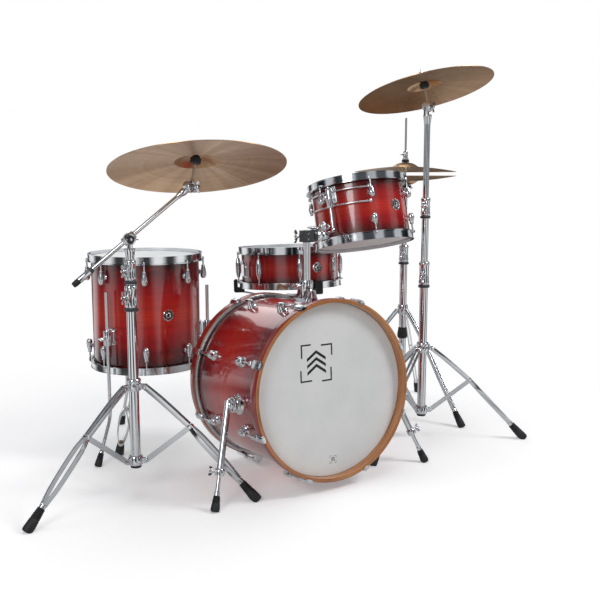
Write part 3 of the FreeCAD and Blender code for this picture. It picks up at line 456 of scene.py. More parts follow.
def joined(name, objects):
    """Several objects as one piece, with their materials kept."""
    whole = bmesh.new()
    materials = []
    for item in objects:
        start = len(whole.faces)
        whole.from_mesh(item.data)
        whole.faces.ensure_lookup_table()
        own = list(item.data.materials)
        for material in own:
            if material not in materials:
                materials.append(material)
        for face in whole.faces[start:]:
            face.material_index = materials.index(own[min(face.material_index, len(own) - 1)])
    mesh = bpy.data.meshes.new(name)
    whole.to_mesh(mesh)
    whole.free()
    for material in materials:
        mesh.materials.append(material)
    for item in objects:
        bpy.data.objects.remove(item)
    mesh.shade_smooth()
    mesh.set_sharp_from_angle(angle=SHARP)
    made = bpy.data.objects.new(name, mesh)
    bpy.context.scene.collection.objects.link(made)
    return made


def assembled(name, items, body, slot, node_name):
    """Joins objects into one piece that rides on its body and stands for a CAD node."""
    finished(joined(name, items), body, slot, node_name)


# ---- materials -----------------------------------------------------------------------------
def linear(code):
    """A linear colour from an sRGB hex code."""
    channels = [int(code[i:i + 2], 16) / 255 for i in (1, 3, 5)]
    return [c / 12.92 if c <= 0.04045 else ((c + 0.055) / 1.055) ** 2.4 for c in channels] + [1.0]


def surface(name, colour, **values):
    """A new material, its tree and its shader, with constants on the shader's own sockets."""
    material = bpy.data.materials.new(name)
    material.use_nodes = True
    shader = material.node_tree.nodes["Principled BSDF"]
    shader.inputs["Base Color"].default_value = linear(colour)
    for key, value in values.items():
        shader.inputs[key.replace("_", " ")].default_value = value
    return material, material.node_tree, shader


def feed(shader, name, source):
    shader.id_data.links.new(source, shader.inputs[name])


def local_place(tree, centre=ORIGIN, z_axis=UP):
    """Object coordinates in metres, centred and turned to a piece's own axis."""
    spot = node(tree, "ShaderNodeTexCoord").outputs["Object"]
    turn = Vector(z_axis).rotation_difference(UP).to_euler()
    moved = node(tree, "ShaderNodeVectorMath", {"operation": "SUBTRACT"}, {1: centre}, {0: spot})
    return node(tree, "ShaderNodeMapping", {"vector_type": "POINT"}, {"Rotation": turn},
                {"Vector": moved.outputs[0]}).outputs[0]


def flattened(tree, spot):
    """A place with its height taken out."""
    return node(tree, "ShaderNodeVectorMath", {"operation": "MULTIPLY"}, {1: (1, 1, 0)},
                {0: spot}).outputs[0]


def radius_of(tree, spot):
    """Distance from the Z axis of a piece's own place."""
    return node(tree, "ShaderNodeVectorMath", {"operation": "LENGTH"},
                links={0: flattened(tree, spot)}).outputs["Value"]


def noise(tree, spot, size, detail=3.0, rough=0.55):
    """Noise with cells of `size` millimetres, or with a size along each of the three axes."""
    scale = 1.0
    if isinstance(size, tuple):
        stretch = [1 / (length * MM) for length in size]
        spot = node(tree, "ShaderNodeMapping", {}, {"Scale": stretch}, {"Vector": spot}).outputs[0]
    else:
        scale = 1 / (size * MM)
    return node(tree, "ShaderNodeTexNoise", {}, {"Scale": scale, "Detail": detail, "Roughness": rough},
                {"Vector": spot}).outputs["Fac"]


def ramp(tree, amount, stops):
    made = node(tree, "ShaderNodeValToRGB", links={"Fac": amount})
    band = made.color_ramp
    while len(band.elements) < len(stops):
        band.elements.new(0.5)
    for element, (at, colour) in zip(band.elements, stops):
        element.position = at
        element.color = linear(colour)
    return made.outputs["Color"]


def spread(tree, amount, low, high, start=0.3, end=0.7):
    """Runs from `low` to `high` while the amount runs from `start` to `end`."""
    return node(tree, "ShaderNodeMapRange", {},
                {"From Min": start, "From Max": end, "To Min": low, "To Max": high},
                {"Value": amount}).outputs["Result"]


def raised(tree, shader, height, depth):
    """Bump of `depth` millimetres."""
    bump = node(tree, "ShaderNodeBump", {}, {"Distance": depth * MM, "Strength": 1.0}, {"Height": height})
    feed(shader, "Normal", bump.outputs["Normal"])


def maths(tree, operation, *inputs):
    made = node(tree, "ShaderNodeMath", {"operation": operation})
    for i, value in enumerate(inputs):
        if isinstance(value, (int, float)):
            made.inputs[i].default_value = value
        else:
            tree.links.new(value, made.inputs[i])
    return made.outputs[0]


def rings_of(tree, away, pitch):
    """A wave across the radius that repeats every `pitch` millimetres."""
    return maths(tree, "SINE", maths(tree, "MULTIPLY", away, 2 * math.pi / (pitch * MM)))


def mixed(tree, amount, first, second):
    made = node(tree, "ShaderNodeMix", {"data_type": "RGBA", "blend_type": "MIX"})
    for slot, value in ((0, amount), (6, first), (7, second)):
        if isinstance(value, (int, float, list)):
            made.inputs[slot].default_value = value
        else:
            tree.links.new(value, made.inputs[slot])
    return made.outputs[2]


def chrome_plate(name, rough_low, rough_high, ripple, colour="#E4E6E9"):
    """Polished metal under chrome: near mirror, with faint wipe marks and a very slight waviness."""
    material, tree, shader = surface(name, colour, Metallic=1.0)
    spot = local_place(tree)
    marks = noise(tree, spot, 45.45, 4.0)
    feed(shader, "Roughness", spread(tree, marks, rough_low, rough_high))
    worn = spread(tree, marks, 0.0, 0.35)
    feed(shader, "Base Color", mixed(tree, worn, linear(colour), linear("#C3C7CC")))
    raised(tree, shader, noise(tree, spot, 11.11, 2.0), ripple)
    return material


def red_burst(name, centre, z_axis, half, look):
    """Clear gloss lacquer over a stain that runs from orange-red at the middle to burgundy at the edges.

    The maple's flame and its fine grain run round the shell, so they change mostly along its axis.
    """
    material, tree, shader = surface(name, look.shell_middle, IOR=1.5, Roughness=0.24, Coat_Weight=1.0,
                                     Coat_Roughness=0.03)
    spot = local_place(tree, centre, z_axis)
    parts = node(tree, "ShaderNodeSeparateXYZ", links={"Vector": spot})
    height = maths(tree, "DIVIDE", maths(tree, "ABSOLUTE", parts.outputs["Z"]), half)
    cloud = noise(tree, spot, 200.0)
    edge = maths(tree, "ADD", height, spread(tree, cloud, -0.10, 0.10))
    burst = ramp(tree, edge, [(0.0, look.shell_middle), (0.4, "#B01018"), (0.74, "#62060C"),
                              (1.0, look.shell_edge)])
    grain = noise(tree, spot, (333.3, 333.3, 4.762), 6.0, 0.62)
    flame = noise(tree, spot, (62.5, 62.5, 38.46))
    grained = mixed(tree, spread(tree, grain, 0.0, 0.3, 0.42, 0.68), burst, linear("#330406"))
    flamed = mixed(tree, spread(tree, flame, 0.0, 0.25, 0.5, 0.72), grained, linear("#CC3E1E"))
    feed(shader, "Base Color", flamed)
    raised(tree, shader, noise(tree, spot, 29.41, 2.0), 0.12)
    return material


def bent_maple(name, centre, z_axis, outer, look):
    """A bent maple hoop under clear gloss: plies and grain show on its edges, stained red outside."""
    material, tree, shader = surface(name, look.maple, IOR=1.5, Roughness=0.3, Coat_Weight=0.9,
                                     Coat_Roughness=0.06)
    spot = local_place(tree, centre, z_axis)
    away = radius_of(tree, spot)
    grain = noise(tree, spot, (166.7, 166.7, 8.333), 7.0, 0.65)
    layers = rings_of(tree, away, 2.4)
    wood = ramp(tree, grain, [(0.25, "#8A4A22"), (0.48, look.maple), (0.75, "#D69A62")])
    plies = mixed(tree, spread(tree, layers, 0.0, 0.22, -1.0, 1.0), wood, linear("#7A3C1C"))
    red = ramp(tree, grain, [(0.25, "#5E080A"), (0.5, "#8E1410"), (0.8, "#B8301C")])
    stained = maths(tree, "GREATER_THAN", away, (outer - 1.2) * MM)
    feed(shader, "Base Color", mixed(tree, stained, plies, red))
    raised(tree, shader, grain, 0.15)
    return material


def coated_film(name, colour):
    """Polyester film under a sprayed white coating: matt, with a fine grit and slight clouding."""
    material, tree, shader = surface(name, colour, IOR=1.5, Roughness=0.62)
    spot = local_place(tree)
    cloud = spread(tree, noise(tree, spot, 142.9, 4.0), 0.0, 0.5)
    feed(shader, "Base Color", mixed(tree, cloud, linear(colour), linear("#D6D8D8")))
    feed(shader, "Roughness", spread(tree, noise(tree, spot, 16.67), 0.52, 0.72))
    raised(tree, shader, noise(tree, spot, 0.7143, 2.0), 0.06)
    return material


def lathed_bronze(name, centre, z_axis, bell, look):
    """Cast cymbal bronze, hammered, then lathed in rings.

    The grooves and the hammer marks break up the light, wedges fan out from the middle as on any lathed disc,
    with their shine changing and their colour painted darker as a painted sheen, and the bell is smoother.
    """
    material, tree, shader = surface(name, look.bronze, Metallic=1.0, Roughness=0.34, Anisotropic=0.35)
    spot = local_place(tree, centre, z_axis)
    away = radius_of(tree, spot)
    wobble = maths(tree, "ADD", away, maths(tree, "MULTIPLY", noise(tree, spot, 111.1, 2.0), 4 * MM))
    across = node(tree, "ShaderNodeCombineXYZ", links={"X": wobble}).outputs[0]
    bands = noise(tree, across, 14.29, 5.0, 0.7)
    tone = ramp(tree, bands, [(0.2, "#AC8460"), (0.45, look.bronze), (0.62, "#D2AE8A"), (0.85, "#DFC0A0")])
    tarnish = spread(tree, noise(tree, spot, 166.7, 4.0), 0.0, 0.4, 0.45, 0.75)
    stained = mixed(tree, tarnish, tone, linear("#8C6238"))
    ray = node(tree, "ShaderNodeVectorMath", {"operation": "NORMALIZE"},
               links={0: flattened(tree, spot)}).outputs[0]
    painted_sheen_and_shine_wedge = noise(tree, ray, 312.5, 5.0, 0.62)     # on a ray one metre long: a third of a radian round
    # painted sheen: the base colour is darkened in wedges that fan out from the middle, and the same wedges
    # change the shine
    sheen = mixed(tree, spread(tree, painted_sheen_and_shine_wedge, 0.0, 0.5, 0.36, 0.66), stained, linear("#94714F"))
    feed(shader, "Base Color", sheen)
    feed(shader, "Roughness", spread(tree, painted_sheen_and_shine_wedge, 0.24, 0.42))
    flat = maths(tree, "MULTIPLY", maths(tree, "GREATER_THAN", away, bell * MM), 0.35)
    hammer = maths(tree, "MULTIPLY", noise(tree, spot, 21.74, 2.0), 2.2)
    height = maths(tree, "ADD", maths(tree, "MULTIPLY", rings_of(tree, away, 2.8), flat), hammer)
    raised(tree, shader, height, 0.22)
    return material


def grained_plain(name, colour, roughness, fine, depth, **values):
    """A moulded or coated plain surface: fine grain in its height and a slight change in its shine."""
    material, tree, shader = surface(name, colour, Roughness=roughness, **values)
    spot = local_place(tree)
    slow = noise(tree, spot, 38.46)
    feed(shader, "Roughness", spread(tree, slow, max(roughness - 0.1, 0.02), roughness + 0.1))
    lighter = [min(c * 1.5 + 0.006, 1.0) for c in linear(colour)[:3]] + [1.0]
    feed(shader, "Base Color", mixed(tree, spread(tree, slow, 0.0, 0.7), linear(colour), lighter))
    raised(tree, shader, noise(tree, spot, fine), depth)
    return material


MADE = {}


def finish(name):
    return MADE[name]


def make_finishes(look):
    """The finishes that several pieces share. Ripple, grain and depth are in millimetres."""
    # tubes and rods are near mirrors, so each shows one bright and one dark line along it
    MADE["chrome"] = chrome_plate("chrome_plate_on_polished_steel", 0.05, 0.12, 0.02)
    # a casting keeps some of its skin under the plate, which rounds and softens its highlights
    MADE["cast"] = chrome_plate("chrome_plate_on_cast_zinc", 0.08, 0.17, 0.08)
    # pressed strips are polished least, so the legs read as satin beside the tubes
    MADE["strip"] = chrome_plate("chrome_plate_on_pressed_strip", 0.12, 0.22, 0.05, "#D7DADD")
    # bare rolled metal: a dull bright ring round each head
    MADE["flesh"] = chrome_plate("rolled_aluminium_flesh_hoop", 0.22, 0.34, 0.04, "#D2D4D6")
    # the sprayed coat scatters light, so the heads are the whitest and flattest surfaces
    MADE["film"] = coated_film("sprayed_coating_on_polyester_film", look.film)
    # moulded rubber: near black with a wide, weak shine along the ribs
    MADE["rubber"] = grained_plain("moulded_black_rubber", look.rubber, 0.58, 1.111, 0.08, IOR=1.52)
    # nylon is greyer and slicker than rubber, which sets the bushes off from the feet
    MADE["nylon"] = grained_plain("moulded_grey_nylon", "#34373A", 0.42, 1.4286, 0.05, IOR=1.53)
    # powder coat flows on heating into a faint orange peel that breaks its highlights
    MADE["powder"] = grained_plain("black_powder_coat_on_casting", "#121314", 0.4, 0.8333, 0.08, IOR=1.5)
    # wool fibres give felt no highlight, only a soft pale rim
    MADE["felt"] = grained_plain("pressed_wool_felt", "#1B1B1C", 0.95, 0.625, 0.4, IOR=1.4,
                                 Sheen_Weight=0.5)
    # printed ink is flat and even, a little glossier than the coat that it lies on
    MADE["ink"] = grained_plain("screen_printed_ink", "#141415", 0.5, 0.7692, 0.03, IOR=1.5)
    # a near-black disc of painted shade stands for the vent's bore, where the drum's dark inside would show
    MADE["hole"] = grained_plain("painted_shade_vent_bore", "#050505", 0.8, 2.0, 0.1, IOR=1.5)


# ---- sizes and colours a user may change ------------------------------------------------------
class KitLook(bpy.types.PropertyGroup):
    shell_middle: StringProperty(name="Shell middle", default="#CC2C1C",
                                 description="sRGB hex of the burst's middle")
    shell_edge: StringProperty(name="Shell edge", default="#260306",
                               description="sRGB hex of the burst's edge")
    maple: StringProperty(name="Maple", default="#B87844", description="sRGB hex of the natural maple hoop")
    film: StringProperty(name="Head coating", default="#EFEFEE",
                         description="sRGB hex of the sprayed coating")
    bronze: StringProperty(name="Bronze", default="#C6A07C", description="sRGB hex of the lathed cymbals")
    rubber: StringProperty(name="Rubber", default="#17181A", description="sRGB hex of feet and tips")


class KitSizes(bpy.types.PropertyGroup):
    strip: FloatProperty(name="Leg strip width", default=15 * MM, unit="LENGTH",
                         description="Width of a stand's flat strips")
    bulge: FloatProperty(name="Leg bulge", default=9.5 * MM, unit="LENGTH",
                         description="How far a leg's strips spread between node and foot")
    bass_lugs: IntProperty(name="Bass drum lugs", default=8, min=4,
                           description="Claws on each side of the bass drum")


def look_of(context):
    return context.scene.kit_look


def sizes_of(context):
    return context.scene.kit_sizes


# ---- drums -----------------------------------------------------------------------------------
# Radius, height, lean towards the player, lugs, azimuth of the first lug and of the badge. The bass
# drum has its heads recessed inside two wood hoops. Lengths are in millimetres.
FLOOR_TOM = {"r": 177.8, "h": 356.0, "lean": 0.0, "lugs": 8, "first": 246.2, "badge": 270}
RACK_TOM = {"r": 152.4, "h": 190.0, "lean": 13.2, "lugs": 6, "first": 247.8, "badge": 281}
SNARE = {"r": 177.8, "h": 127.0, "lean": 3.0, "lugs": 8, "first": 248.5, "badge": 271}
BASS = {"r": 254.0, "depth": 415.0, "lean": 4.0, "recess": 27.55, "hoop_in": 255.6, "hoop_out": 267.6,
        "hoop_w": 30.0}
ROD_OUT = 13.6                 # circle of the tension rods outside the shell
HEAD_LIFT = 0.55               # head film above the shell's edge
HOOP_REACH = 11.65             # underside of the hoop's flange below the shell's edge
LEG_R = 5.5                    # floor tom's leg rods
LEG_BEND = 144.0               # height where they bend outwards
LEG_SPREAD = 68.0              # how far their feet stand outside the bend
BRACKET_Z = 404.0              # height of their brackets
ARM_R = 5.5                    # rack tom's arm rod
POST_R = 11.1                  # post that carries it
HOLDER_AZIMUTH = 200.0         # where the rack tom's holder sits on its shell
HOLDER_OUT = 14.0              # axis of the holder's bore outside the shell
HOLDER_LOW = 30.0              # the arm's elbow above the drum's lower edge
SUSPENSION_SPAN = 46           # degrees each way that the holder's bowed rods reach
SADDLE_TOP = 548.0             # top of the bass drum's shell under the post
SPUR_REACH = Vector((112.0, -91.0)) * MM    # a spur's foot from its hinge, outwards and forwards


def head_pair(name, place, radius, height, body, node_name):
    """Film with its drawn collar and the metal flesh hoop, on both ends."""
    shape = Shape()
    for sign in (1, -1):
        local = place @ Matrix.Translation((0, 0, sign * height / 2)) @ Matrix.Scale(sign, 4, UP)
        film = [(0, HEAD_LIFT), (radius * 0.5, HEAD_LIFT), (radius - 9, HEAD_LIFT),
                (radius - 3, HEAD_LIFT - 0.05), (radius + 0.4, HEAD_LIFT - 0.5), (radius + 1.2, -1.6),
                (radius + 1.7, -5), (radius + 0.7, -5), (radius + 0.2, -1.4), (radius - 0.2, 0.1),
                (radius - 9, 0.12), (0, 0.12)]
        turned(shape, local, film, finish("film"), 128)
        flesh = [(radius + 1.9, -9.6), (radius + 6.2, -9.6), (radius + 6.5, -8.8), (radius + 6.5, -4.2),
                 (radius + 5.6, -3.1), (radius + 2.4, -3.1), (radius + 1.9, -4)]
        turned(shape, local, flesh, finish("flesh"), 128, hollow=True)
    shape.piece(name, body, "drum_head", node_name)


def bullet(shape, radius, low, high, material, out=10.4):
    """A cast lug: a bullet along the shell on a waisted foot."""
    length = high - low
    centre = Matrix.Translation((radius + ROD_OUT, 0, low))
    profile = [(0, 0), (4.0, 0.5), (7.2, 2.8), (9.2, 7), (out, length * 0.3), (out * 0.97, length * 0.46),
               (out * 0.82, length * 0.64), (6.4, length * 0.82), (5.8, length - 4.2), (6.4, length - 3.6),
               (6.4, length - 1), (5.2, length), (0, length)]
    turned(shape, centre, profile, material, 24)
    mid = (low + high) / 2
    foot = Matrix.Translation((radius - 1.5, 0, mid)) @ OUTWARD
    turned(shape, foot, [(0, 0), (9.0, 0), (9.3, 2.2), (7.4, 3.6), (5.4, 6), (5.0, 9), (5.6, 14),
                         (0, 14)], material, 24)


def tension_rod(shape, radius, start, end, material):
    """A threaded rod with its washer and square key head past the hoop."""
    at = radius + ROD_OUT
    sign = 1 if end > start else -1
    peg(shape, Matrix(), (at, 0, start - sign * 4), (at, 0, end), 2.7, material, 0.3, 12)
    flat = Matrix.Translation((at, 0, end)) @ Matrix.Scale(sign, 4, UP)
    turned(shape, flat, [(0, 0.2), (3.4, 0.2), (3.7, 0.7), (3.7, 2.4), (3.0, 3.2), (0, 3.2)], material, 20)
    slab(shape, flat, rounded([(-2.5, -2.5), (2.5, -2.5), (2.5, 2.5), (-2.5, 2.5)], 0.6, 2), 3.0, 7.4,
         material, 0.5)


def badge(shape, place, radius, azimuth, height):
    """A round plain badge round the shell's vent: raised rim, ring of rays, eyelet, and a near-black disc of
    painted shade for the bore.
    """
    local = place @ Matrix.Translation(polar(azimuth, radius - 0.8, height)) @ (
        stood(ORIGIN, polar(azimuth, 1), UP) @ Matrix.Scale(1.22 / MM, 4))
    cast = finish("cast")
    turned(shape, local, [(0, -1), (14.6, -1), (15, 0.6), (15, 2.0), (14, 3.0), (12.6, 2.8), (11.8, 1.7),
                          (7.2, 1.7), (6.6, 2.4), (5.6, 3.0), (3.6, 2.6), (3.0, 1.6), (0, 1.6)], cast, 44)
    # painted shade: a near-black disc in the eyelet stands for the dark inside of the drum seen through the
    # vent
    turned(shape, local, [(0, 1.4), (2.9, 1.4), (2.9, 1.75), (0, 1.75)], finish("hole"), 24)
    turned(shape, local, [(7.1, 1.0), (12.2, 1.0), (12.2, 1.85), (7.1, 1.85)], finish("powder"), 44,
           hollow=True)
    for i in range(12):
        ray = local @ turn_about_z(30 * i)
        slab(shape, ray, rounded([(7.8, -0.7), (11.2, -1.3), (11.2, 1.3), (7.8, 0.7)], 0.4, 2), 1.2, 2.1,
             cast, 0.25)


def steel_drum(context, name, facts, body, lug_length):
    """What the three steel-hooped drums share. Gives back the drum's place, its lugs and its fittings."""
    centre, axis = middle(name + "_shell"), leaned(facts["lean"])
    place = stood(centre, axis)
    radius, height = facts["r"], facts["h"]
    burst = red_burst("red_burst_lacquer_on_maple_" + name, centre, axis, height / 2 * MM, look_of(context))
    paint(name + "_shell", burst)
    paint(name + "_hoops", finish("chrome"))
    head_pair(name + "_heads_film_and_flesh_hoop", place, radius, height, body, name + "_heads")
    cast, step = finish("cast"), math.radians(360 / facts["lugs"])
    lug = Shape()
    half = height / 2
    if name == "snare":
        ends = ((0, 36), (4.4, 36), (5.8, 34), (5.8, 31), (7.4, 26), (9.2, 17), (9.8, 7))
        long_lug = [(r, -z) for r, z in ends] + list(reversed(ends))
        turned(lug, Matrix.Translation((radius + ROD_OUT, 0, 0)), long_lug, cast, 28)
        brick(lug, Matrix(), (radius - 1, -5, -20), (radius + 8, 5, 20), cast, 2, 1)
        for sign in (1, -1):
            tension_rod(lug, radius, sign * 34, sign * (half - HOOP_REACH), cast)
    else:
        edge = half - 34
        bullet(lug, radius, edge - lug_length, edge, cast)
        tension_rod(lug, radius, edge, half - HOOP_REACH, cast)
        lug.mirrored(cast)
    first = math.radians(facts["first"])
    lugs = repeated(ROUND, lug, name + "_lugs", place, facts["lugs"], first, step, cast)
    fittings = Shape()
    badge(fittings, place, radius, facts["badge"], 0)
    return place, lugs, fittings


def paint(node_name, material):
    """Gives a CAD node's object its finish."""
    item = frame["nodes"][node_name]
    item.data.materials.clear()
    item.data.materials.append(material)
    item.data.shade_smooth()
    item.data.set_sharp_from_angle(angle=SHARP)


class KitFloorTom(bpy.types.Operator):
    """Floor tom: lacquered shell, heads, lugs, badge, leg brackets and bent legs"""
    bl_idname = "kit.floor_tom"
    bl_label = "Floor tom"

    def execute(self, context):
        place, lugs, fittings = steel_drum(context, "floor_tom", FLOOR_TOM, "root", 46)
        cast = finish("cast")
        axis_at = middle("floor_tom_shell")
        leg_r = FLOOR_TOM["r"] + 25.2
        clamp_z = BRACKET_Z - axis_at.z / MM
        for i in range(3):
            leg = "floor_tom_leg_%d" % (i + 1)
            top_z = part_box(leg)[1][2]
            top = [v.co for v in frame["nodes"][leg].data.vertices if v.co.z > top_z - 2 * MM]
            rod_at = sum(top, ORIGIN) / len(top)
            out = (rod_at - axis_at).to_2d().to_3d().normalized()
            azimuth = azimuth_of(out)
            spun = place @ turn_about_z(azimuth)
            plate_place = spun @ Matrix.Translation((FLOOR_TOM["r"] - 1.2, 0, clamp_z)) @ OUTWARD
            plate = rounded([(-26, -13), (26, -13), (26, 13), (-26, 13)], 9, 5)
            slab(fittings, plate_place, plate, 0, 6, cast, 1.4)
            hub = [(LEG_R + 0.15, clamp_z - 25), (11.5, clamp_z - 25), (13.2, clamp_z - 21), (13.4, clamp_z),
                   (13.2, clamp_z + 21), (11.5, clamp_z + 25), (LEG_R + 0.15, clamp_z + 25)]
            turned(fittings, spun @ Matrix.Translation((leg_r, 0, 0)), hub, cast, 30, hollow=True)
            brick(fittings, spun, (FLOOR_TOM["r"] + 2, -8, clamp_z - 20), (leg_r - 7, 8, clamp_z + 20), cast,
                  2.5, 1.4)
            wing_screw(fittings, spun, Vector((leg_r + 12, 0, clamp_z)), RIGHT, BACK, 16, cast)
            self.leg(leg, axis_at, azimuth, leg_r, top_z / MM)
        assembled("floor_tom_lugs_badge_and_brackets", [lugs, fittings.object("floor_tom_fittings")],
                  "root", "chrome", "floor_tom_hardware")
        return {"FINISHED"}

    def leg(self, name, axis_at, azimuth, leg_r, top):
        """A plated rod, upright through its bracket, bent outwards below it, with a rubber foot."""
        shape = Shape()
        floor = stood(Vector((axis_at.x, axis_at.y, 0))) @ turn_about_z(azimuth)
        foot = Vector((leg_r + LEG_SPREAD, 0, 0))
        bend = Vector((leg_r, 0, LEG_BEND))
        slope = (foot - bend).normalized()
        path = [Vector((leg_r, 0, top)), bend + UP * 22]
        path += curved([bend + UP * 20, bend + Vector((2.4, 0, 1)), bend + slope * 20], 6)
        path.append(foot - slope * 40)
        swept(shape, floor, path, circle(LEG_R, 20), finish("chrome"))
        turned(shape, floor @ Matrix.Translation((leg_r, 0, top - 0.4)),
               [(0, 0), (LEG_R - 0.2, 0), (LEG_R - 0.8, 0.3), (0, 0.4)], finish("chrome"), 20)
        rubber_foot(shape, floor, foot, slope, 46, 11.8, finish("rubber"), finish("chrome"), 5)
        shape.piece(name + "_rod_and_foot", name, "chrome", name)


class KitRackTom(bpy.types.Operator):
    """Rack tom: lacquered shell, heads, lugs, badge, holder, L arm, clamp and post"""
    bl_idname = "kit.rack_tom"
    bl_label = "Rack tom"

    def execute(self, context):
        place, lugs, fittings = steel_drum(context, "rack_tom", RACK_TOM, "rack_tom", 36)
        cast, chrome = finish("cast"), finish("chrome")
        radius, half = RACK_TOM["r"], RACK_TOM["h"] / 2
        spun = place @ turn_about_z(HOLDER_AZIMUTH)
        top = half - 18
        holder = spun @ Matrix.Translation((radius + HOLDER_OUT, 0, 0))
        body = [(ARM_R + 0.15, top - 66), (9.4, top - 66), (10.8, top - 62), (10.8, top - 8), (9.4, top - 4),
                (ARM_R + 0.15, top - 4)]
        turned(fittings, holder, body, cast, 30, hollow=True)
        brick(fittings, spun, (radius - 1, -10, top - 62), (radius + 8.4, 10, top - 8), cast, 3, 1.4)
        brick(fittings, spun, (radius + 1, -20, top - 52), (radius + 5, 20, top + 1), cast, 1.6, 1.2)
        wing_screw(fittings, spun, Vector((radius + 23, 0, top - 36)), RIGHT, UP, 17, cast)
        self.suspension(fittings, place, radius, half, chrome, cast)
        assembled("rack_tom_lugs_badge_and_holder", [lugs, fittings.object("rack_tom_fittings")],
                  "rack_tom", "chrome", "rack_tom_hardware")
        self.arm(place, top, half)
        self.clamp_block()
        paint("tom_post", chrome)
        return {"FINISHED"}

    def suspension(self, shape, place, radius, half, chrome, cast):
        """Two bowed rods across three lugs that carry the tom by its holder."""
        for height in (half - 34, half - 80):
            arc = [polar(HOLDER_AZIMUTH + a, radius + 8 + 3 * math.cos(math.radians(a * 1.6)), height)
                   for a in range(-SUSPENSION_SPAN, SUSPENSION_SPAN + 1, 4)]
            swept(shape, place, arc, circle(2.6, 12), chrome)
            for a in (-SUSPENSION_SPAN, SUSPENSION_SPAN):
                knob = place @ Matrix.Translation(polar(HOLDER_AZIMUTH + a, radius + 9, height))
                turned(shape, knob, [(0, -5), (4, -5), (5, -3.5), (5, 3.5), (4, 5), (0, 5)], cast, 18)

    def arm(self, place, top, half):
        """An L-shaped rod from the clamp's toothed disc to the tom's holder."""
        shape = Shape()
        chrome, cast = finish("chrome"), finish("cast")
        pivot = joint_at("tom_arm_tilt")
        elbow, tip = (place @ polar(HOLDER_AZIMUTH, RACK_TOM["r"] + HOLDER_OUT, height) / MM
                      for height in (HOLDER_LOW - half, top))
        start = pivot / MM + RIGHT * 13
        into, away = ((end - elbow).normalized() * 14 + elbow for end in (start, tip))
        corner = [into * (1 - t) ** 2 + elbow * 2 * t * (1 - t) + away * t * t for t in (0.25, 0.5, 0.75)]
        rod = [start, start + (elbow - start) * 0.5, into] + corner + [away, tip]
        swept(shape, stood(ORIGIN), rod, circle(ARM_R, 20), chrome)
        disc = stood(pivot, RIGHT, UP)
        turned(shape, disc, [(0, 0.5), (17, 0.5), (18.6, 2), (18.8, 11), (17, 14), (13.4, 15), (14.4, 18),
                             (14.4, 30), (13, 32), (13, 38), (11, 41), (0, 41.6)], cast, 48)
        wing_screw(shape, disc, Vector((12, 0, 24)), RIGHT, BACK, 15, cast)
        shape.piece("tom_arm_rod_and_disc", "rack_tom", "chrome", "tom_arm")

    def clamp_block(self):
        """Moulded block round the post with its plated hinge disc and wing screw."""
        shape = Shape()
        at = joint_at("tom_clamp_swivel")
        place = stood(at)
        nylon, cast = finish("nylon"), finish("cast")
        outline = rounded([(-18, -18), (19, -18), (19, 18), (-18, 18)], 8, 5)
        self.drilled(shape, place, outline, POST_R + 0.2, -18, 16, nylon)
        side = place @ OUTWARD
        turned(shape, side, [(0, 18.5), (19, 18.5), (19, 29), (17.6, 30.4), (0, 30.4)], nylon, 44)
        for height in (-9, 7):
            turned(shape, place @ Matrix.Translation((-4, -18.2, height)) @ ON_EDGE,
                   [(0, -1), (3.6, -1), (3.6, 0.9), (2.8, 1.6), (0, 1.6)], cast, 18)
        cap = place @ Matrix.Translation((25, 0, 0))
        turned(shape, cap, [(0, 12), (8, 12), (8, 20), (18, 22), (20, 23.4), (20, 26), (18, 27.6),
                            (0, 28.4)], cast, 44)
        wing_screw(shape, place, Vector((-17, 0, 0)), -RIGHT, UP, 20, cast)
        shape.piece("tom_clamp_block_and_wing_screw", "tom_clamp", "grey_casting", "tom_clamp")

    def drilled(self, shape, place, outline, radius, low, high, material):
        """A block with a round bore about Z: each point of the outline has its own on the bore."""
        bore = [p.normalized() * radius for p in outline]
        loops = [(bore, low), (outline, low), (outline, high), (bore, high)]
        points = [(p.x, p.y, z) for loop, z in loops for p in loop]
        shape.add(place, points, skin(len(loops), len(outline), closed=True), material)


class KitSnare(bpy.types.Operator):
    """Snare drum: lacquered shell, heads, double-ended lugs, badge, strainer and lever"""
    bl_idname = "kit.snare"
    bl_label = "Snare drum"

    def execute(self, context):
        place, lugs, fittings = steel_drum(context, "snare", SNARE, "snare", 62)
        cast = finish("cast")
        strainer = SNARE["first"] - 67.5
        spun = place @ turn_about_z(strainer)
        half = SNARE["h"] / 2
        radius = SNARE["r"]
        brick(fittings, spun, (radius - 1, -14, 30 - half), (radius + 9, 14, 74 - half), cast, 3, 1.6)
        brick(fittings, spun, (radius + 8, -10, 34 - half), (radius + 16, 10, 68 - half), cast, 3, 1.6)
        peg(fittings, spun, (radius + 11, 0, 72 - half), (radius + 11, 0, 88 - half), 5.5, cast)
        butt = place @ turn_about_z(strainer + 180)
        brick(fittings, butt, (radius - 1, -13, 26 - half), (radius + 8, 13, 52 - half), cast, 3, 1.6)
        assembled("snare_lugs_badge_and_strainer", [lugs, fittings.object("snare_fittings")],
                  "snare", "chrome", "snare_hardware")
        lever = Shape()
        upright = spun @ ON_EDGE
        outline = [(radius + 16.5, 36 - half), (radius + 24, 36 - half), (radius + 23.6, 78 - half),
                   (radius + 30, 88 - half), (radius + 27.5, 92 - half), (radius + 18, 90 - half)]
        slab(lever, upright, rounded(outline, 2.5, 3), -8.6, 8.6, cast, 1.4)
        lever.piece("snare_strainer_lever_cast", "strainer_lever", "chrome", "snare_strainer_lever")
        return {"FINISHED"}


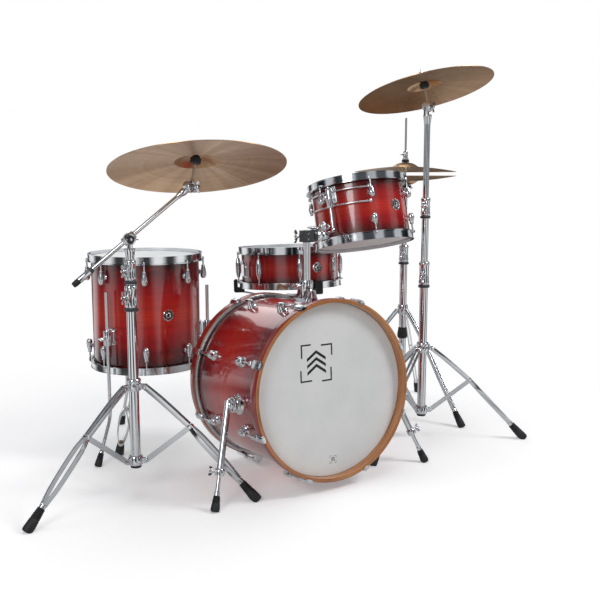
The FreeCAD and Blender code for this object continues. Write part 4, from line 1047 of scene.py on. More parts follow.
class KitBassDrum(bpy.types.Operator):
    """Bass drum: lacquered shell, maple hoops, heads, claws, lugs, printed mark, spurs and tom mount"""
    bl_idname = "kit.bass_drum"
    bl_label = "Bass drum"

    def execute(self, context):
        centre = middle("bass_shell")
        lean = math.radians(BASS["lean"])
        axis = Vector((0, -math.cos(lean), math.sin(lean)))
        place = stood(centre, axis)
        look = look_of(context)
        half = BASS["depth"] / 2
        paint("bass_shell", red_burst("red_burst_lacquer_on_maple_bass", centre, axis, half * MM, look))
        head_pair("bass_heads_film_and_flesh_hoop", place, BASS["r"], 2 * (half - BASS["recess"]), "root",
                  "bass_heads")
        wood = bent_maple("clear_lacquer_on_bent_maple_hoop", centre, axis, BASS["hoop_out"], look)
        hoops = Shape()
        inner, outer, wide = BASS["hoop_in"] + 0.2, BASS["hoop_out"], BASS["hoop_w"]
        profile = [(inner, half - wide), (outer - 1.5, half - wide), (outer - 0.4, half - wide + 0.6),
                   (outer, half - wide + 2), (outer, half - 2.2), (outer - 0.6, half - 0.7),
                   (outer - 2.2, half), (inner + 1.6, half), (inner + 0.4, half - 0.6), (inner, half - 2)]
        for sign in (1, -1):
            end = place @ Matrix.Scale(sign, 4, UP)
            turned(hoops, end, profile, wood, 160, hollow=True)
            back = half - wide
            trim = [(255.4, back - 4), (263, back - 4), (264.6, back - 3), (264.6, back - 0.1),
                    (255.4, back - 0.1)]
            turned(hoops, end, trim, finish("flesh"), 160, hollow=True)
        hoops.piece("bass_hoops_bent_maple", "root", "wood_hoop", "bass_hoops")
        self.mark(place, half)
        fittings = Shape()
        self.mount(fittings)
        for side in (-1, 1):
            at = joint_at("spur_left_fold" if side < 0 else "spur_right_fold")
            disc = stood(at, RIGHT * side, UP)
            turned(fittings, disc, [(0, -34), (31, -34), (32, -20), (31, -14), (27.6, -11.4), (24.4, -9),
                                    (23.6, -3), (21.6, -0.5), (0, -0.5)], finish("cast"), 56)
        count = sizes_of(context).bass_lugs
        claws = repeated(ROUND, self.claw(half), "bass_claws_and_lugs", place, count,
                         math.radians(180 / count), math.radians(360 / count), finish("cast"))
        assembled("bass_claws_lugs_and_mount", [claws, fittings.object("bass_fittings")],
                  "root", "chrome", "bass_hardware")
        for side in (-1, 1):
            self.spur(side)
        return {"FINISHED"}

    def claw(self, half):
        """One claw bent over the hoop, with its key rod and round lug, on both sides of the drum."""
        shape = Shape()
        cast = finish("cast")
        outer = BASS["hoop_out"]
        upright = ON_EDGE
        bend = [(outer + 0.3, half - 44), (outer + 7, half - 44), (outer + 9, half - 36),
                (outer + 8.6, half - 6), (outer + 6, half + 1.6), (outer + 2, half + 2.9),
                (outer - 4.6, half + 2.8), (outer - 5.6, half + 0.5), (outer - 1, half + 0.3),
                (outer + 0.3, half - 1)]
        slab(shape, upright, bend, -6.4, 6.4, cast, 0.25)
        thin = [(outer + 0.3, half - 40), (outer + 4, half - 38), (outer + 4, half - 2),
                (outer + 2.4, half + 1.4), (outer - 3, half + 1.6), (outer - 3.6, half + 0.4),
                (outer + 0.3, half - 0.6)]
        slab(shape, upright, thin, -11.4, 11.4, cast, 0.2)
        at = outer + 4.5
        ear = Matrix.Translation((at, 0, half - 54))
        turned(shape, ear, [(0, 0), (6.2, 0), (7.2, 1.6), (7.2, 10), (6.0, 12), (0, 12)], cast, 24)
        peg(shape, Matrix(), (at, 0, half - 100), (at, 0, half - 50), 2.8, cast, 0.3, 12)
        key = rounded([(-3, -3), (3, -3), (3, 3), (-3, 3)], 0.7, 2)
        slab(shape, Matrix.Translation((at, 0, half - 40)), key, -4, 5, cast, 0.5)
        lug = Matrix.Translation((at, 0, half - 130))
        turned(shape, lug, [(0, -2), (4.4, -1.6), (7.4, 2), (8.6, 8), (8.8, 20), (8.2, 28), (7.2, 31),
                            (7.4, 36), (5, 38), (0, 38)], cast, 28)
        foot = Matrix.Translation((BASS["r"] - 1.5, 0, half - 118)) @ OUTWARD
        turned(shape, foot, [(0, 0), (16, 0), (16.6, 2.4), (15.4, 6), (13.6, 10), (13.2, 16), (12, 21),
                             (8.6, 25.4), (3, 27.6), (0, 27.8)], cast, 36)
        shape.mirrored(cast)
        return shape

    def mark(self, place, half):
        """A plain printed mark: three stacked chevrons in a broken square, and the same again, small."""
        shape = Shape()
        ink = finish("ink")
        face = half - BASS["recess"] + HEAD_LIFT + 0.02
        for x, y, size in ((-46, 84, 58), (0, -208, 12)):
            local = (place @ Matrix.Translation((x, y, face)) @ Matrix.Scale(size, 4, RIGHT)
                     @ Matrix.Scale(size, 4, BACK))
            for turn in (0, 90, 180, 270):
                corner = [(0.30, 0.90), (0.98, 0.90), (0.98, 0.30), (0.90, 0.30), (0.90, 0.82), (0.30, 0.82)]
                slab(shape, local @ turn_about_z(turn), corner, 0, 0.12, ink, 0.002)
            for lift in (-0.42, -0.08, 0.26):
                chevron = [(-0.56, lift - 0.16), (0, lift + 0.22), (0.56, lift - 0.16), (0.56, lift),
                           (0, lift + 0.38), (-0.56, lift)]
                slab(shape, local, chevron, 0, 0.12, ink, 0.002)
        shape.piece("bass_front_head_printed_mark", "root", "black_casting")

    def mount(self, shape):
        """Saddle on flared feet with the receiver that holds the tom post."""
        post = joint_at("tom_clamp_swivel")
        place = stood(Vector((post.x, post.y, 0)))
        cast = finish("cast")
        top = SADDLE_TOP
        for side in (-1, 1):
            leg = curved([(side * 10, 0, top + 24), (side * 16, 0, top), (side * 27, 0, top - 17),
                          (side * 36, 0, top - 25)], 6)
            swept(shape, place, leg, rounded([(-30, -4), (30, -4), (30, 4), (-30, 4)], 3, 3), cast,
                  side=BACK)
        neck = [(POST_R + 0.2, top - 22), (24, top - 22), (22, top - 8), (19, top + 8), (18, top + 30),
                (19.4, top + 34), (19.4, top + 50), (17.6, top + 54.5), (POST_R + 0.2, top + 54.5)]
        turned(shape, place, neck, cast, 44, hollow=True)
        wing_screw(shape, place, Vector((-18, 0, top + 40)), -RIGHT, BACK, 16, cast)

    def spur(self, side):
        """A folding leg: plated tube, clamp with its wing screw, thin rod and ribbed foot."""
        name = "spur_left" if side < 0 else "spur_right"
        shape = Shape()
        cast, chrome = finish("cast"), finish("chrome")
        at = joint_at(name + "_fold")
        front = Vector((at.x + side * SPUR_REACH.x, at.y + SPUR_REACH.y, 0))
        metres = stood(ORIGIN)
        head = at + RIGHT * side * 20 * MM
        along = (front - head).normalized()
        elbow = head + (front - head) * 0.66
        disc = stood(at, RIGHT * side, UP)
        turned(shape, disc, [(0, 0.6), (20, 0.6), (22.4, 2), (22.4, 8), (20, 12), (13, 14), (0, 14)], cast, 44)
        turned(shape, disc, [(0, 12), (15, 12), (14.6, 18), (11.6, 23), (6.4, 25.4), (0, 26)], cast, 40)
        turned(shape, disc, [(0, 25), (4.4, 25), (4.4, 27), (3.2, 28.6), (0, 28.6)], chrome, 20)
        peg(shape, metres, (head - along * 14 * MM) / MM, elbow / MM, 9.5, chrome, 1.2, 28)
        peg(shape, metres, (elbow - along * 4 * MM) / MM, (front - along * 40 * MM) / MM, 6, chrome, 0.6, 24)
        collar = stood(elbow - along * 18 * MM, along, RIGHT)
        turned(shape, collar, [(0, 0), (11.6, 0), (13.6, 2.4), (14, 7), (14, 15), (12.4, 19.4), (0, 20)],
               cast, 32)
        wing_screw(shape, collar, Vector((side * 12, 0, 10)), RIGHT * side, UP, 14, cast)
        rubber_foot(shape, metres, front / MM, along, 46, 13, finish("rubber"), chrome, 5)
        shape.piece(name + "_tube_rod_and_foot", name, "chrome", name)


# ---- cymbals ------------------------------------------------------------------------------------
class KitCymbals(bpy.types.Operator):
    """Lathed bronze for the ride, the crash and both hi-hats"""
    bl_idname = "kit.cymbals"
    bl_label = "Cymbals"

    def execute(self, context):
        look = look_of(context)
        for node_name, bell, joint in (("ride_cymbal", 66.0, "ride_spin"),
                                       ("crash_cymbal", 58.0, "crash_spin"),
                                       ("hihat_top_cymbal", 48.0, None),
                                       ("hihat_bottom_cymbal", 48.0, None)):
            centre = joint_at(joint) if joint else middle(node_name)
            axis = joint_axis(joint) if joint else UP
            paint(node_name, lathed_bronze("lathed_cast_bronze_" + node_name, centre, axis, bell, look))
        return {"FINISHED"}


STEM_OUT = 6 * MM              # a cymbal's stem stands this far along its hinge from the pivot


def cymbal_stem(name, pivot, hinge, stem, top, felt_r, under, over):
    """Toothed disc, stem, cup, felts, wing nut and wing screw: all that tilts with a cymbal.

    `top` is the cymbal's hole along the stem; the felts stop `under` below it and start `over` above.
    """
    shape = Shape()
    cast, chrome, felt, rubber = finish("cast"), finish("chrome"), finish("felt"), finish("rubber")
    rear = stood(pivot, hinge, UP)
    hinge_disc(shape, rear, cast, flat=9.4)
    for i in range(24):
        tooth = rear @ turn_about_z(15 * i)
        brick(shape, tooth, (15.8, -0.8, 2), (17.6, 0.8, 10), cast, 0.3, 0.2)
    place = stood(pivot + hinge * STEM_OUT, stem, hinge)
    peg(shape, place, (0, 0, 0), (0, 0, top + 40), 4.0, chrome, 0.8, 20)
    turned(shape, place, [(0, 8), (8.6, 8), (9.4, 11), (6.2, 20), (5.6, 24), (0, 24)], cast, 30)
    turned(shape, place, [(0, top - 28), (13, top - 28), (15.4, top - 25), (16, top - 12.2),
                          (0, top - 12.2)], rubber, 36)
    peg(shape, place, (0, 0, top - 14), (0, 0, top + 16), 5.1, rubber, 0.4, 20)
    felt_ring(shape, place, top - 12, top - under, felt_r, felt)
    felt_ring(shape, place, top + over, top + 14, felt_r, felt)
    wing_nut(shape, place, top + 14, cast)
    wing_screw(shape, rear, Vector((0, 0, 11)), UP, RIGHT, 18, cast)
    shape.piece(name + "_stem_felts_and_nut", name + "_tilter", "chrome", name + "_tilter")


def felt_ring(shape, place, low, high, radius, felt):
    """A pressed felt washer with soft edges."""
    turned(shape, place, [(0, low), (radius - 2, low), (radius - 0.5, low + 1), (radius, (low + high) / 2),
                          (radius - 0.5, high - 1), (radius - 2, high), (0, high)], felt, 36)


def wing_nut(shape, place, low, material):
    """A wing nut on the stem: round boss and two raised wings."""
    turned(shape, place, [(0, low), (7.4, low), (7.4, low + 2), (6, low + 5), (5.6, low + 12),
                          (0, low + 12.4)], material, 24)
    upright = place @ ON_EDGE
    wing = [(4, low + 2), (10, low + 3), (15, low + 6), (17, low + 11), (13.6, low + 12.6), (4, low + 9)]
    for sign in (1, -1):
        slab(shape, upright, [(x * sign, y) for x, y in rounded(wing, 3, 3)], -1.8, 1.8, material, 1.0)


# ---- stands --------------------------------------------------------------------------------------
TUBE_R = (14.3, 12.22, 10.14)       # base, middle and upper tube
BORE_R = (12.3, 10.22, 8.14)
TUBE_BOTTOM = 79.0
STRIP_THICK = 2.8
FIXED_STRIP = 15.0                  # strip width on the tripods that don't fold
FOLD_FOOT_R = 362.0
# radius and height of a folding tripod's pivots: strut on leg, leg on collar, strut on tube
NODE_AT = (166.0, 207.0)
COLLAR_AT = (34.0, 318.0)
STRUT_AT = (31.0, 100.0)
WING_AZIMUTH = 215                  # the stands' wing screws point forwards and towards -X


def upright_plane(at, out):
    """Local X runs out from the stand, Y is height and Z is across the leg."""
    return stood(at, out.cross(UP), out)


def strip_section(width):
    half_w, half_t = width / 2, STRIP_THICK / 2
    corners = [(-half_t, -half_w), (half_t, -half_w), (half_t, half_w), (-half_t, half_w)]
    return rounded(corners, STRIP_THICK * 0.4, 2)


def ear(tube, at):
    """Outline of a lug on a tube that carries a pin at that radius and height."""
    out, height = at
    return rounded([(tube + 3, height - 8), (out + 4, height - 8), (out + 7, height), (out + 4, height + 8),
                    (tube + 3, height + 8)], 4, 3)


def folding_tripod(context, name, at):
    """Legs of two bulging strips, struts and collar. Gives back the bracket, for the base tube's piece."""
    sizes = sizes_of(context)
    width, bulge = sizes.strip / MM, sizes.bulge / MM
    strip, cast, chrome = finish("strip"), finish("cast"), finish("chrome")
    collar, bracket = Shape(), Shape()
    floor = stood(at)
    tube = TUBE_R[0]
    turned(collar, floor, [(tube + 0.15, 306), (tube + 5, 306), (tube + 7, 309), (tube + 7, 322),
                           (tube + 5.6, 326), (tube + 5.6, 332), (tube + 6.6, 334), (tube + 6.6, 337),
                           (tube + 4.6, 340), (tube + 0.15, 340)], cast, 44, hollow=True)
    turned(bracket, floor, [(tube + 0.05, 87), (tube + 5, 87), (tube + 7, 89.4), (tube + 7, 110),
                            (tube + 5, 113), (tube + 0.05, 113)], cast, 44, hollow=True)
    first = None
    for i in range(3):
        leg, strut = "%s_leg_%d" % (name, i + 1), "%s_strut_%d" % (name, i + 1)
        side = joint_axis(leg + "_fold")
        out = side.cross(UP)
        azimuth = azimuth_of(out)
        first = azimuth if first is None else first
        plane = upright_plane(at, out)
        slab(collar, plane, ear(tube, COLLAR_AT), -4.6, 4.6, cast, 0.8)
        peg(collar, plane, (*COLLAR_AT, -9.5), (*COLLAR_AT, 9.5), 2.95, chrome)
        for s in (-1, 1):
            turned(collar, plane @ Matrix.Translation((*COLLAR_AT, 0)) @ Matrix.Scale(s, 4, UP),
                   [(0, 8.4), (4.8, 8.4), (4.8, 9.4), (3.4, 11), (0, 11.4)], chrome, 18)
            edges = sorted((s * 1.9, s * 4.6))
            slab(bracket, plane, ear(tube, STRUT_AT), edges[0], edges[1], cast, 0.5)
        peg(bracket, plane, (*STRUT_AT, -9.4), (*STRUT_AT, 9.4), 2.95, chrome)
        folding_leg(leg, plane, width, bulge, strip, chrome)
        bar = Shape()
        run = Vector(NODE_AT) - Vector(STRUT_AT)
        flat = plane @ Matrix.Translation((*STRUT_AT, 0)) @ turn_about_z(azimuth_of(run))
        outline = [polar(a, width / 2) for a in range(90, 271, 15)]
        outline += [RIGHT * run.length + polar(a, width / 2) for a in range(-90, 91, 15)]
        slab(bar, flat, outline, -1.45, 1.45, strip, 0.5)
        for x in (0, run.length):
            peg(bar, flat, (x, 0, -1.7), (x, 0, 1.7), 5.2, chrome, 0.3)
        bar.piece(strut + "_flat_bar", strut, "chrome", strut)
    behind = floor @ turn_about_z(first + 180)
    wing_screw(collar, behind, Vector((tube + 5, 0, 326)), RIGHT, UP, 16, cast)
    collar.piece(name + "_collar_cast", name + "_collar", "chrome", name + "_collar")
    return bracket


def folding_leg(name, plane, width, bulge, strip, chrome):
    """Strips that arch to the node and spread again before the foot, with rivets, ferrule and foot."""
    shape = Shape()
    foot, knee = Vector((FOLD_FOOT_R, 0, 0)), Vector((*NODE_AT, 0))
    slope = (foot - knee).normalized()
    end = foot - slope * 72
    section = strip_section(width)
    for s in (-1, 1):
        eye = Matrix.Translation((*COLLAR_AT, s * 6.5))
        peg(shape, plane @ eye, (0, 0, -1.4), (0, 0, 1.4), width / 2, strip, 0.5, 28)
        arch = curved([(*COLLAR_AT, s * 6.5), (86, 277, s * 7.4), (*NODE_AT, s * 6.0)], 12)
        swept(shape, plane, arch, section, strip, side=UP)
        swell = [knee.lerp(end, along) + UP * s * apart
                 for along, apart in ((0, 6.0), (0.225, 6.0 + bulge), (0.7, 5.0 + bulge), (1, 5.0))]
        swept(shape, plane, curved(swell, 10), section, strip, side=UP)
        rivet = plane @ Matrix.Translation(knee) @ Matrix.Scale(s, 4, UP)
        turned(shape, rivet, [(0, 1.9), (width / 2 + 0.6, 1.9), (width / 2 + 0.6, 7.6), (5.2, 8.2),
                              (4.4, 10.4), (0, 10.8)], chrome, 26)
    peg(shape, plane, end - slope * 10, end + slope * 8, 8.2, chrome, 1.0, 24)
    rubber_foot(shape, plane, foot, slope, 72, 15, finish("rubber"), chrome, 6)
    shape.piece(name + "_strips_and_foot", name, "chrome", name)


def stand_tubes(name, at, bracket, clamps, middle_bottom):
    """Base and middle tubes with their clamps; the upper tube is made by each stand."""
    cast, chrome = finish("cast"), finish("chrome")
    floor = stood(at)
    sleeve(bracket, floor, BORE_R[0], TUBE_R[0], TUBE_BOTTOM, clamps[0][1] - 1, chrome)
    sleeve(bracket, floor, BORE_R[0], TUBE_R[0] + 1.6, TUBE_BOTTOM - 0.4, TUBE_BOTTOM + 7, finish("rubber"))
    clamp(bracket, floor, TUBE_R[0] + 0.05, TUBE_R[0], clamps[0], WING_AZIMUTH, cast)
    bracket.piece(name + "_base_tube_clamp_and_bracket", "root", "chrome", name + "_base_tube")
    mid = Shape()
    sleeve(mid, floor, BORE_R[1], TUBE_R[1], middle_bottom, clamps[1][1] - 1, chrome)
    clamp(mid, floor, TUBE_R[1] + 0.05, TUBE_R[1], clamps[1], WING_AZIMUTH, cast)
    body = name + "_middle_tube"
    mid.piece(body + "_and_clamp", body, "chrome", body)


BOOM_R = 6.4                   # boom rod


class KitBoomStand(bpy.types.Operator):
    """Boom stand: folding tripod, telescoping tubes, tilter, boom, and the ride's stem"""
    bl_idname = "kit.boom_stand"
    bl_label = "Boom stand"

    def execute(self, context):
        at = joint_at("boom_swivel")
        at.z = 0
        bracket = folding_tripod(context, "boom", at)
        stand_tubes("boom", at, bracket, ((544, 609), (621, 680)), 250)
        pivot, axis, reach = joint_at("boom_tilt"), -joint_axis("boom_tilt"), joint_axis("boom_slide")
        chrome, cast, rubber = finish("chrome"), finish("cast"), finish("rubber")
        upper = Shape()
        floor = stood(at)
        height = pivot.z / MM
        sleeve(upper, floor, BORE_R[2], TUBE_R[2], 300, height - 61, chrome)
        rear = stood(pivot, -axis, UP)
        turned(upper, floor, [(0, height - 62), (11, height - 62), (11.4, height - 56), (14.2, height - 37),
                              (15.6, height - 31), (15.2, height - 27.6), (13.6, height - 26),
                              (0, height - 26)], cast, 40)
        brick(upper, stood(pivot, UP, axis), (-11, -8, -28), (-0.6, 8, 0), cast, 2, 1)
        turned(upper, rear, [(0, 0.4), (15, 0.4), (17, 2), (17, 9.6), (15.4, 12), (11, 13), (11, 15),
                             (0, 15)], cast, 44)
        knob = [(0, 14), (10.4, 14), (11, 16), (11, 30), (9.6, 33.4), (0, 34)]
        turned(upper, rear, knob, rubber, 36)
        ribs = 14
        for i in range(ribs):
            brick(upper, rear @ turn_about_z(360 / ribs * i), (10.2, -0.9, 15.5), (11.6, 0.9, 31), rubber,
                  0.5, 0.3)
        wing_screw(upper, rear, Vector((0, 0, 7)), UP, BACK, 22, cast)
        upper.piece("boom_upper_tube_and_knob", "boom_upper_tube", "chrome", "boom_upper_tube")
        grip = Shape()
        front = stood(pivot, axis, reach)
        hinge_disc(grip, front, cast, flat=9, steps=44)
        line = pivot + axis * 20 * MM
        along = stood(line, reach, axis)
        r = BOOM_R
        turned(grip, along, [(r + 0.15, -20), (r + 4, -20), (r + 6, -17), (r + 6, 17), (r + 4, 20),
                             (r + 0.15, 20)], cast, 36, hollow=True)
        wing_screw(grip, stood(line, axis, reach), Vector((0, 0, 9)), UP, RIGHT, 24, cast)
        grip.piece("boom_tilter_grip", "boom_tilter", "chrome", "boom_tilter")
        self.boom(along, line)
        self.ride_stem()
        return {"FINISHED"}

    def boom(self, along, line):
        """The thin rod with its dark ring, thick counterweight sleeve and rubber tip."""
        shape = Shape()
        chrome, cast, rubber = finish("chrome"), finish("cast"), finish("rubber")
        end = joint_at("ride_tilt")
        length = (end - line).length / MM
        peg(shape, along, (0, 0, -200), (0, 0, length - 12), BOOM_R, chrome, 0.8, 24)
        turned(shape, along, [(0, -202), (6.4, -201.6), (8, -199), (8.8, -190), (8.6, -178), (0, -178)],
               rubber, 28)
        turned(shape, along, [(0, -179), (8.9, -179), (8.9, -142), (8.2, -140), (0, -140)], chrome, 32)
        turned(shape, along, [(0, -141), (8.4, -141), (8.8, -139), (8.8, -134), (7.4, -131), (0, -131)],
               finish("nylon"), 28)
        disc = stood(end, -joint_axis("ride_tilt"), UP)
        turned(shape, disc, [(0, 0.4), (15.4, 0.4), (17, 2), (17, 9.6), (15, 12), (11, 13), (10, 16),
                             (0, 16.4)], cast, 40)
        turned(shape, along, [(0, length - 44), (7.6, length - 44), (8.2, length - 40), (8.2, length - 34),
                              (10.4, length - 30), (11.4, length - 22), (10.6, length - 13),
                              (0, length - 12.4)], cast, 28)
        shape.piece("boom_rod_and_sleeve", "boom_rod", "chrome", "boom_rod")

    def ride_stem(self):
        pivot, hinge = joint_at("ride_tilt"), joint_axis("ride_tilt")
        run = joint_at("ride_spin") - (pivot + hinge * STEM_OUT)
        cymbal_stem("ride", pivot, hinge, run.normalized(), run.length / MM - 0.8, 11.4, 4.4, 5.2)


class KitCrashStand(bpy.types.Operator):
    """Straight stand: folding tripod, telescoping tubes and the crash's tilter"""
    bl_idname = "kit.crash_stand"
    bl_label = "Crash stand"

    def execute(self, context):
        pins = [joint_at("crash_leg_%d_fold" % i) for i in (1, 2, 3)]
        at = sum(pins, ORIGIN) / len(pins)
        at.z = 0
        bracket = folding_tripod(context, "crash", at)
        stand_tubes("crash", at, bracket, ((542, 622), (779, 840)), 300)
        chrome, cast = finish("chrome"), finish("cast")
        pivot, hinge = joint_at("crash_tilt"), joint_axis("crash_tilt")
        upper = Shape()
        floor = stood(at)
        height = pivot.z / MM
        sleeve(upper, floor, BORE_R[2], TUBE_R[2], 560, height - 57, chrome)
        rear = stood(pivot, -hinge, UP)
        turned(upper, floor, [(0, height - 58), (11, height - 58), (11.4, height - 52), (13.6, height - 36),
                              (14.6, height - 31), (14.2, height - 27.6), (12.6, height - 26),
                              (0, height - 26)], cast, 40)
        brick(upper, stood(pivot, UP, hinge), (-12, -8, -28), (-0.6, 8, 0), cast, 2, 1)
        hinge_disc(upper, rear, cast, land=2, steps=44)
        upper.piece("crash_upper_tube_and_disc", "crash_upper_tube", "chrome", "crash_upper_tube")
        cymbal_stem("crash", pivot, hinge, joint_axis("crash_spin"), 92.0, 11.6, 1.2, 2.1)
        return {"FINISHED"}


def fixed_leg(shape, place, azimuth, foot_r, hub_z, hub_r, length=66):
    """A splayed leg of two strips on a stand that does not fold, with its foot."""
    out = polar(azimuth, 1)
    plane = place @ upright_plane(ORIGIN, out) @ UNSCALED
    foot = Vector((foot_r, 0, 0))
    slope = Vector((foot_r - hub_r, -hub_z, 0)).normalized()
    end = foot - slope * length
    start = Vector((hub_r - 1, hub_z, 0))
    section = strip_section(FIXED_STRIP)
    for s in (-1, 1):
        path = [start.lerp(end, along) + Vector((out_by, out_by, s * apart))
                for along, out_by, apart in ((0, 0, 4.4), (0.33, 6, 5.2), (0.7, 2, 5.6), (1, 0, 4.4))]
        swept(shape, plane, curved(path, 10), section, finish("strip"), side=UP)
    rivet = start.lerp(end, 0.5) + Vector((4, 4, 0))
    peg(shape, plane, rivet - UP * 8, rivet + UP * 8, 4, finish("chrome"))
    peg(shape, plane, end - slope * 10, end + slope * 8, 7.6, finish("chrome"), 1.0, 24)
    rubber_foot(shape, plane, foot, slope, length, 14, finish("rubber"), finish("chrome"), 6)


class KitHiHat(bpy.types.Operator):
    """Hi-hat stand: tripod, tubes, pedal, pull rod, clutch and seat"""
    bl_idname = "kit.hi_hat"
    bl_label = "Hi-hat stand"

    def execute(self, context):
        at = middle("hihat_top_cymbal")
        at.z = 0
        heel = joint_at("hihat_pedal")
        out = (heel - at).to_2d().to_3d().normalized()
        azimuth = azimuth_of(out)
        cast, chrome, powder = finish("cast"), finish("chrome"), finish("powder")
        floor = stood(at)
        base = Shape()
        sleeve(base, floor, 10.25, TUBE_R[0], 62, 651, chrome)
        clamp(base, floor, TUBE_R[0] + 0.05, TUBE_R[0], (587, 652), WING_AZIMUTH, cast)
        turned(base, floor, [(14.4, 384), (17.6, 384), (20.3, 388), (20.3, 412), (18, 420), (14.4, 420)],
               cast, 44, hollow=True)
        turned(base, floor, [(14.4, 290), (16.4, 290), (19.6, 296), (20.3, 304), (18, 318), (16, 332),
                             (14.4, 333)], finish("rubber"), 44, hollow=True)
        for i in range(3):
            fixed_leg(base, floor, azimuth + 180 + 120 * i, 308, 402, 22.3)
        spun = floor @ turn_about_z(azimuth)
        brick(base, spun, (255, -47, 0.2), (325, 47, 6), powder, 8, 1.6)
        for x in (-38, 38):
            brick(base, spun, (277, x - 3.5, 5), (293, x + 3.5, 42), powder, 2.5, 0.8)
            rail = [(256, x * 1.02, 6), (200, x, 9), (110, x * 0.72, 20), (26, x * 0.48, 50)]
            swept(base, spun, curved(rail, 6), circle(4.6, 16), chrome)
        peg(base, spun, (285, -44, 34), (285, 44, 34), 2.95, chrome)
        brick(base, spun, (-23, -23, 43), (23, 23, 61), powder, 6, 2)
        base.piece("hihat_tripod_tube_and_pedal_frame", "root", "chrome", "hihat_base")
        self.footboard(floor, azimuth, powder)
        self.upper(floor)
        return {"FINISHED"}

    def footboard(self, floor, azimuth, powder):
        """A cast board with a raised border and rows of grip ribs, hinged on its heel pin."""
        spun = floor @ turn_about_z(azimuth)
        toe, heel = Vector((48, 0, 192)), Vector((279, 0, 36))
        along = (toe - heel).normalized()
        length = (toe - heel).length
        shape = Shape()
        face = stood_board(spun, heel, along)
        outline = rounded([(2, -30), (length * 0.5, -35), (length - 1, -30), (length - 1, 30),
                           (length * 0.5, 35), (2, 30)], 10, 5)
        slab(shape, face, outline, -4.4, 1.4, powder, 1.2)
        for y in (-31, 29):
            brick(shape, face, (14, y, 1.0), (length - 12, y + 2.4, 3.6), powder, 1, 0.5)
        peg(shape, spun, (285, -34, 34), (285, 34, 34), 7.4, powder, 1.2, 24)
        rib = Shape()
        brick(rib, OUTWARD, (-3.6, -21, -1.4), (-1.0, 21, 1.4), powder, 0.8, 0.4)
        ribs = repeated(ROW, rib, "footboard_ribs", face @ OUTWARD, 17, 30.0, 13.0, powder)
        assembled("hihat_footboard_cast", [shape.object("footboard_plate"), ribs], "footboard",
                  "black_casting", "hihat_footboard")

    def upper(self, floor):
        """Upper tube with the seat for the bottom cymbal, then the rod, clutch and felts."""
        cast, chrome, felt = finish("cast"), finish("chrome"), finish("felt")
        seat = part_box("hihat_bottom_cymbal")[0][2] / MM
        tube = Shape()
        sleeve(tube, floor, 8.2, 10.1, 400, seat - 12, chrome)
        turned(tube, floor, [(4.2, seat - 26), (11, seat - 26), (14, seat - 20), (28, seat - 12),
                             (30, seat - 10.4), (30, seat - 9), (28, seat - 8.05), (4.2, seat - 8.05)],
               cast, 48, hollow=True)
        turned(tube, floor, [(4.3, seat - 8.05), (23, seat - 8.05), (24, seat - 6.4), (24, seat - 2),
                             (22.6, seat - 0.1), (4.3, seat - 0.1)], felt, 44, hollow=True)
        tube.piece("hihat_upper_tube_and_seat", "hihat_tube", "chrome", "hihat_upper_tube")
        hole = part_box("hihat_top_cymbal")[1][2] / MM - 1.6
        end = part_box("hihat_rod")[1][2] / MM
        rod = Shape()
        peg(rod, floor, (0, 0, 156), (0, 0, end), 4.0, chrome, 1.2, 20)
        peg(rod, floor, (0, 0, hole - 10), (0, 0, hole + 14), 5.6, chrome, 0.6, 22)
        felt_ring(rod, floor, hole - 12, hole - 1.2, 14.4, felt)
        felt_ring(rod, floor, hole + 2.2, hole + 12, 14.4, felt)
        turned(rod, floor, [(0, hole + 12), (11, hole + 12), (11.6, hole + 13.4), (11.6, hole + 17),
                            (8.6, hole + 19), (8.6, hole + 40), (7, hole + 44), (0, hole + 44)], cast, 32)
        clutch = floor @ turn_about_z(WING_AZIMUTH)
        wing_screw(rod, clutch, Vector((8, 0, hole + 30)), RIGHT, BACK, 15, cast)
        rod.piece("hihat_rod_and_clutch", "hihat_rod", "chrome", "hihat_rod")


def stood_board(spun, heel, along):
    """Local X runs up the footboard, Y across it and Z out of its face."""
    across = BACK
    normal = along.cross(across).normalized()
    if normal.z < 0:
        normal, across = -normal, -across
    turn = Matrix((along, normal.cross(along), normal)).transposed().to_4x4()
    return spun @ Matrix.Translation(heel) @ turn


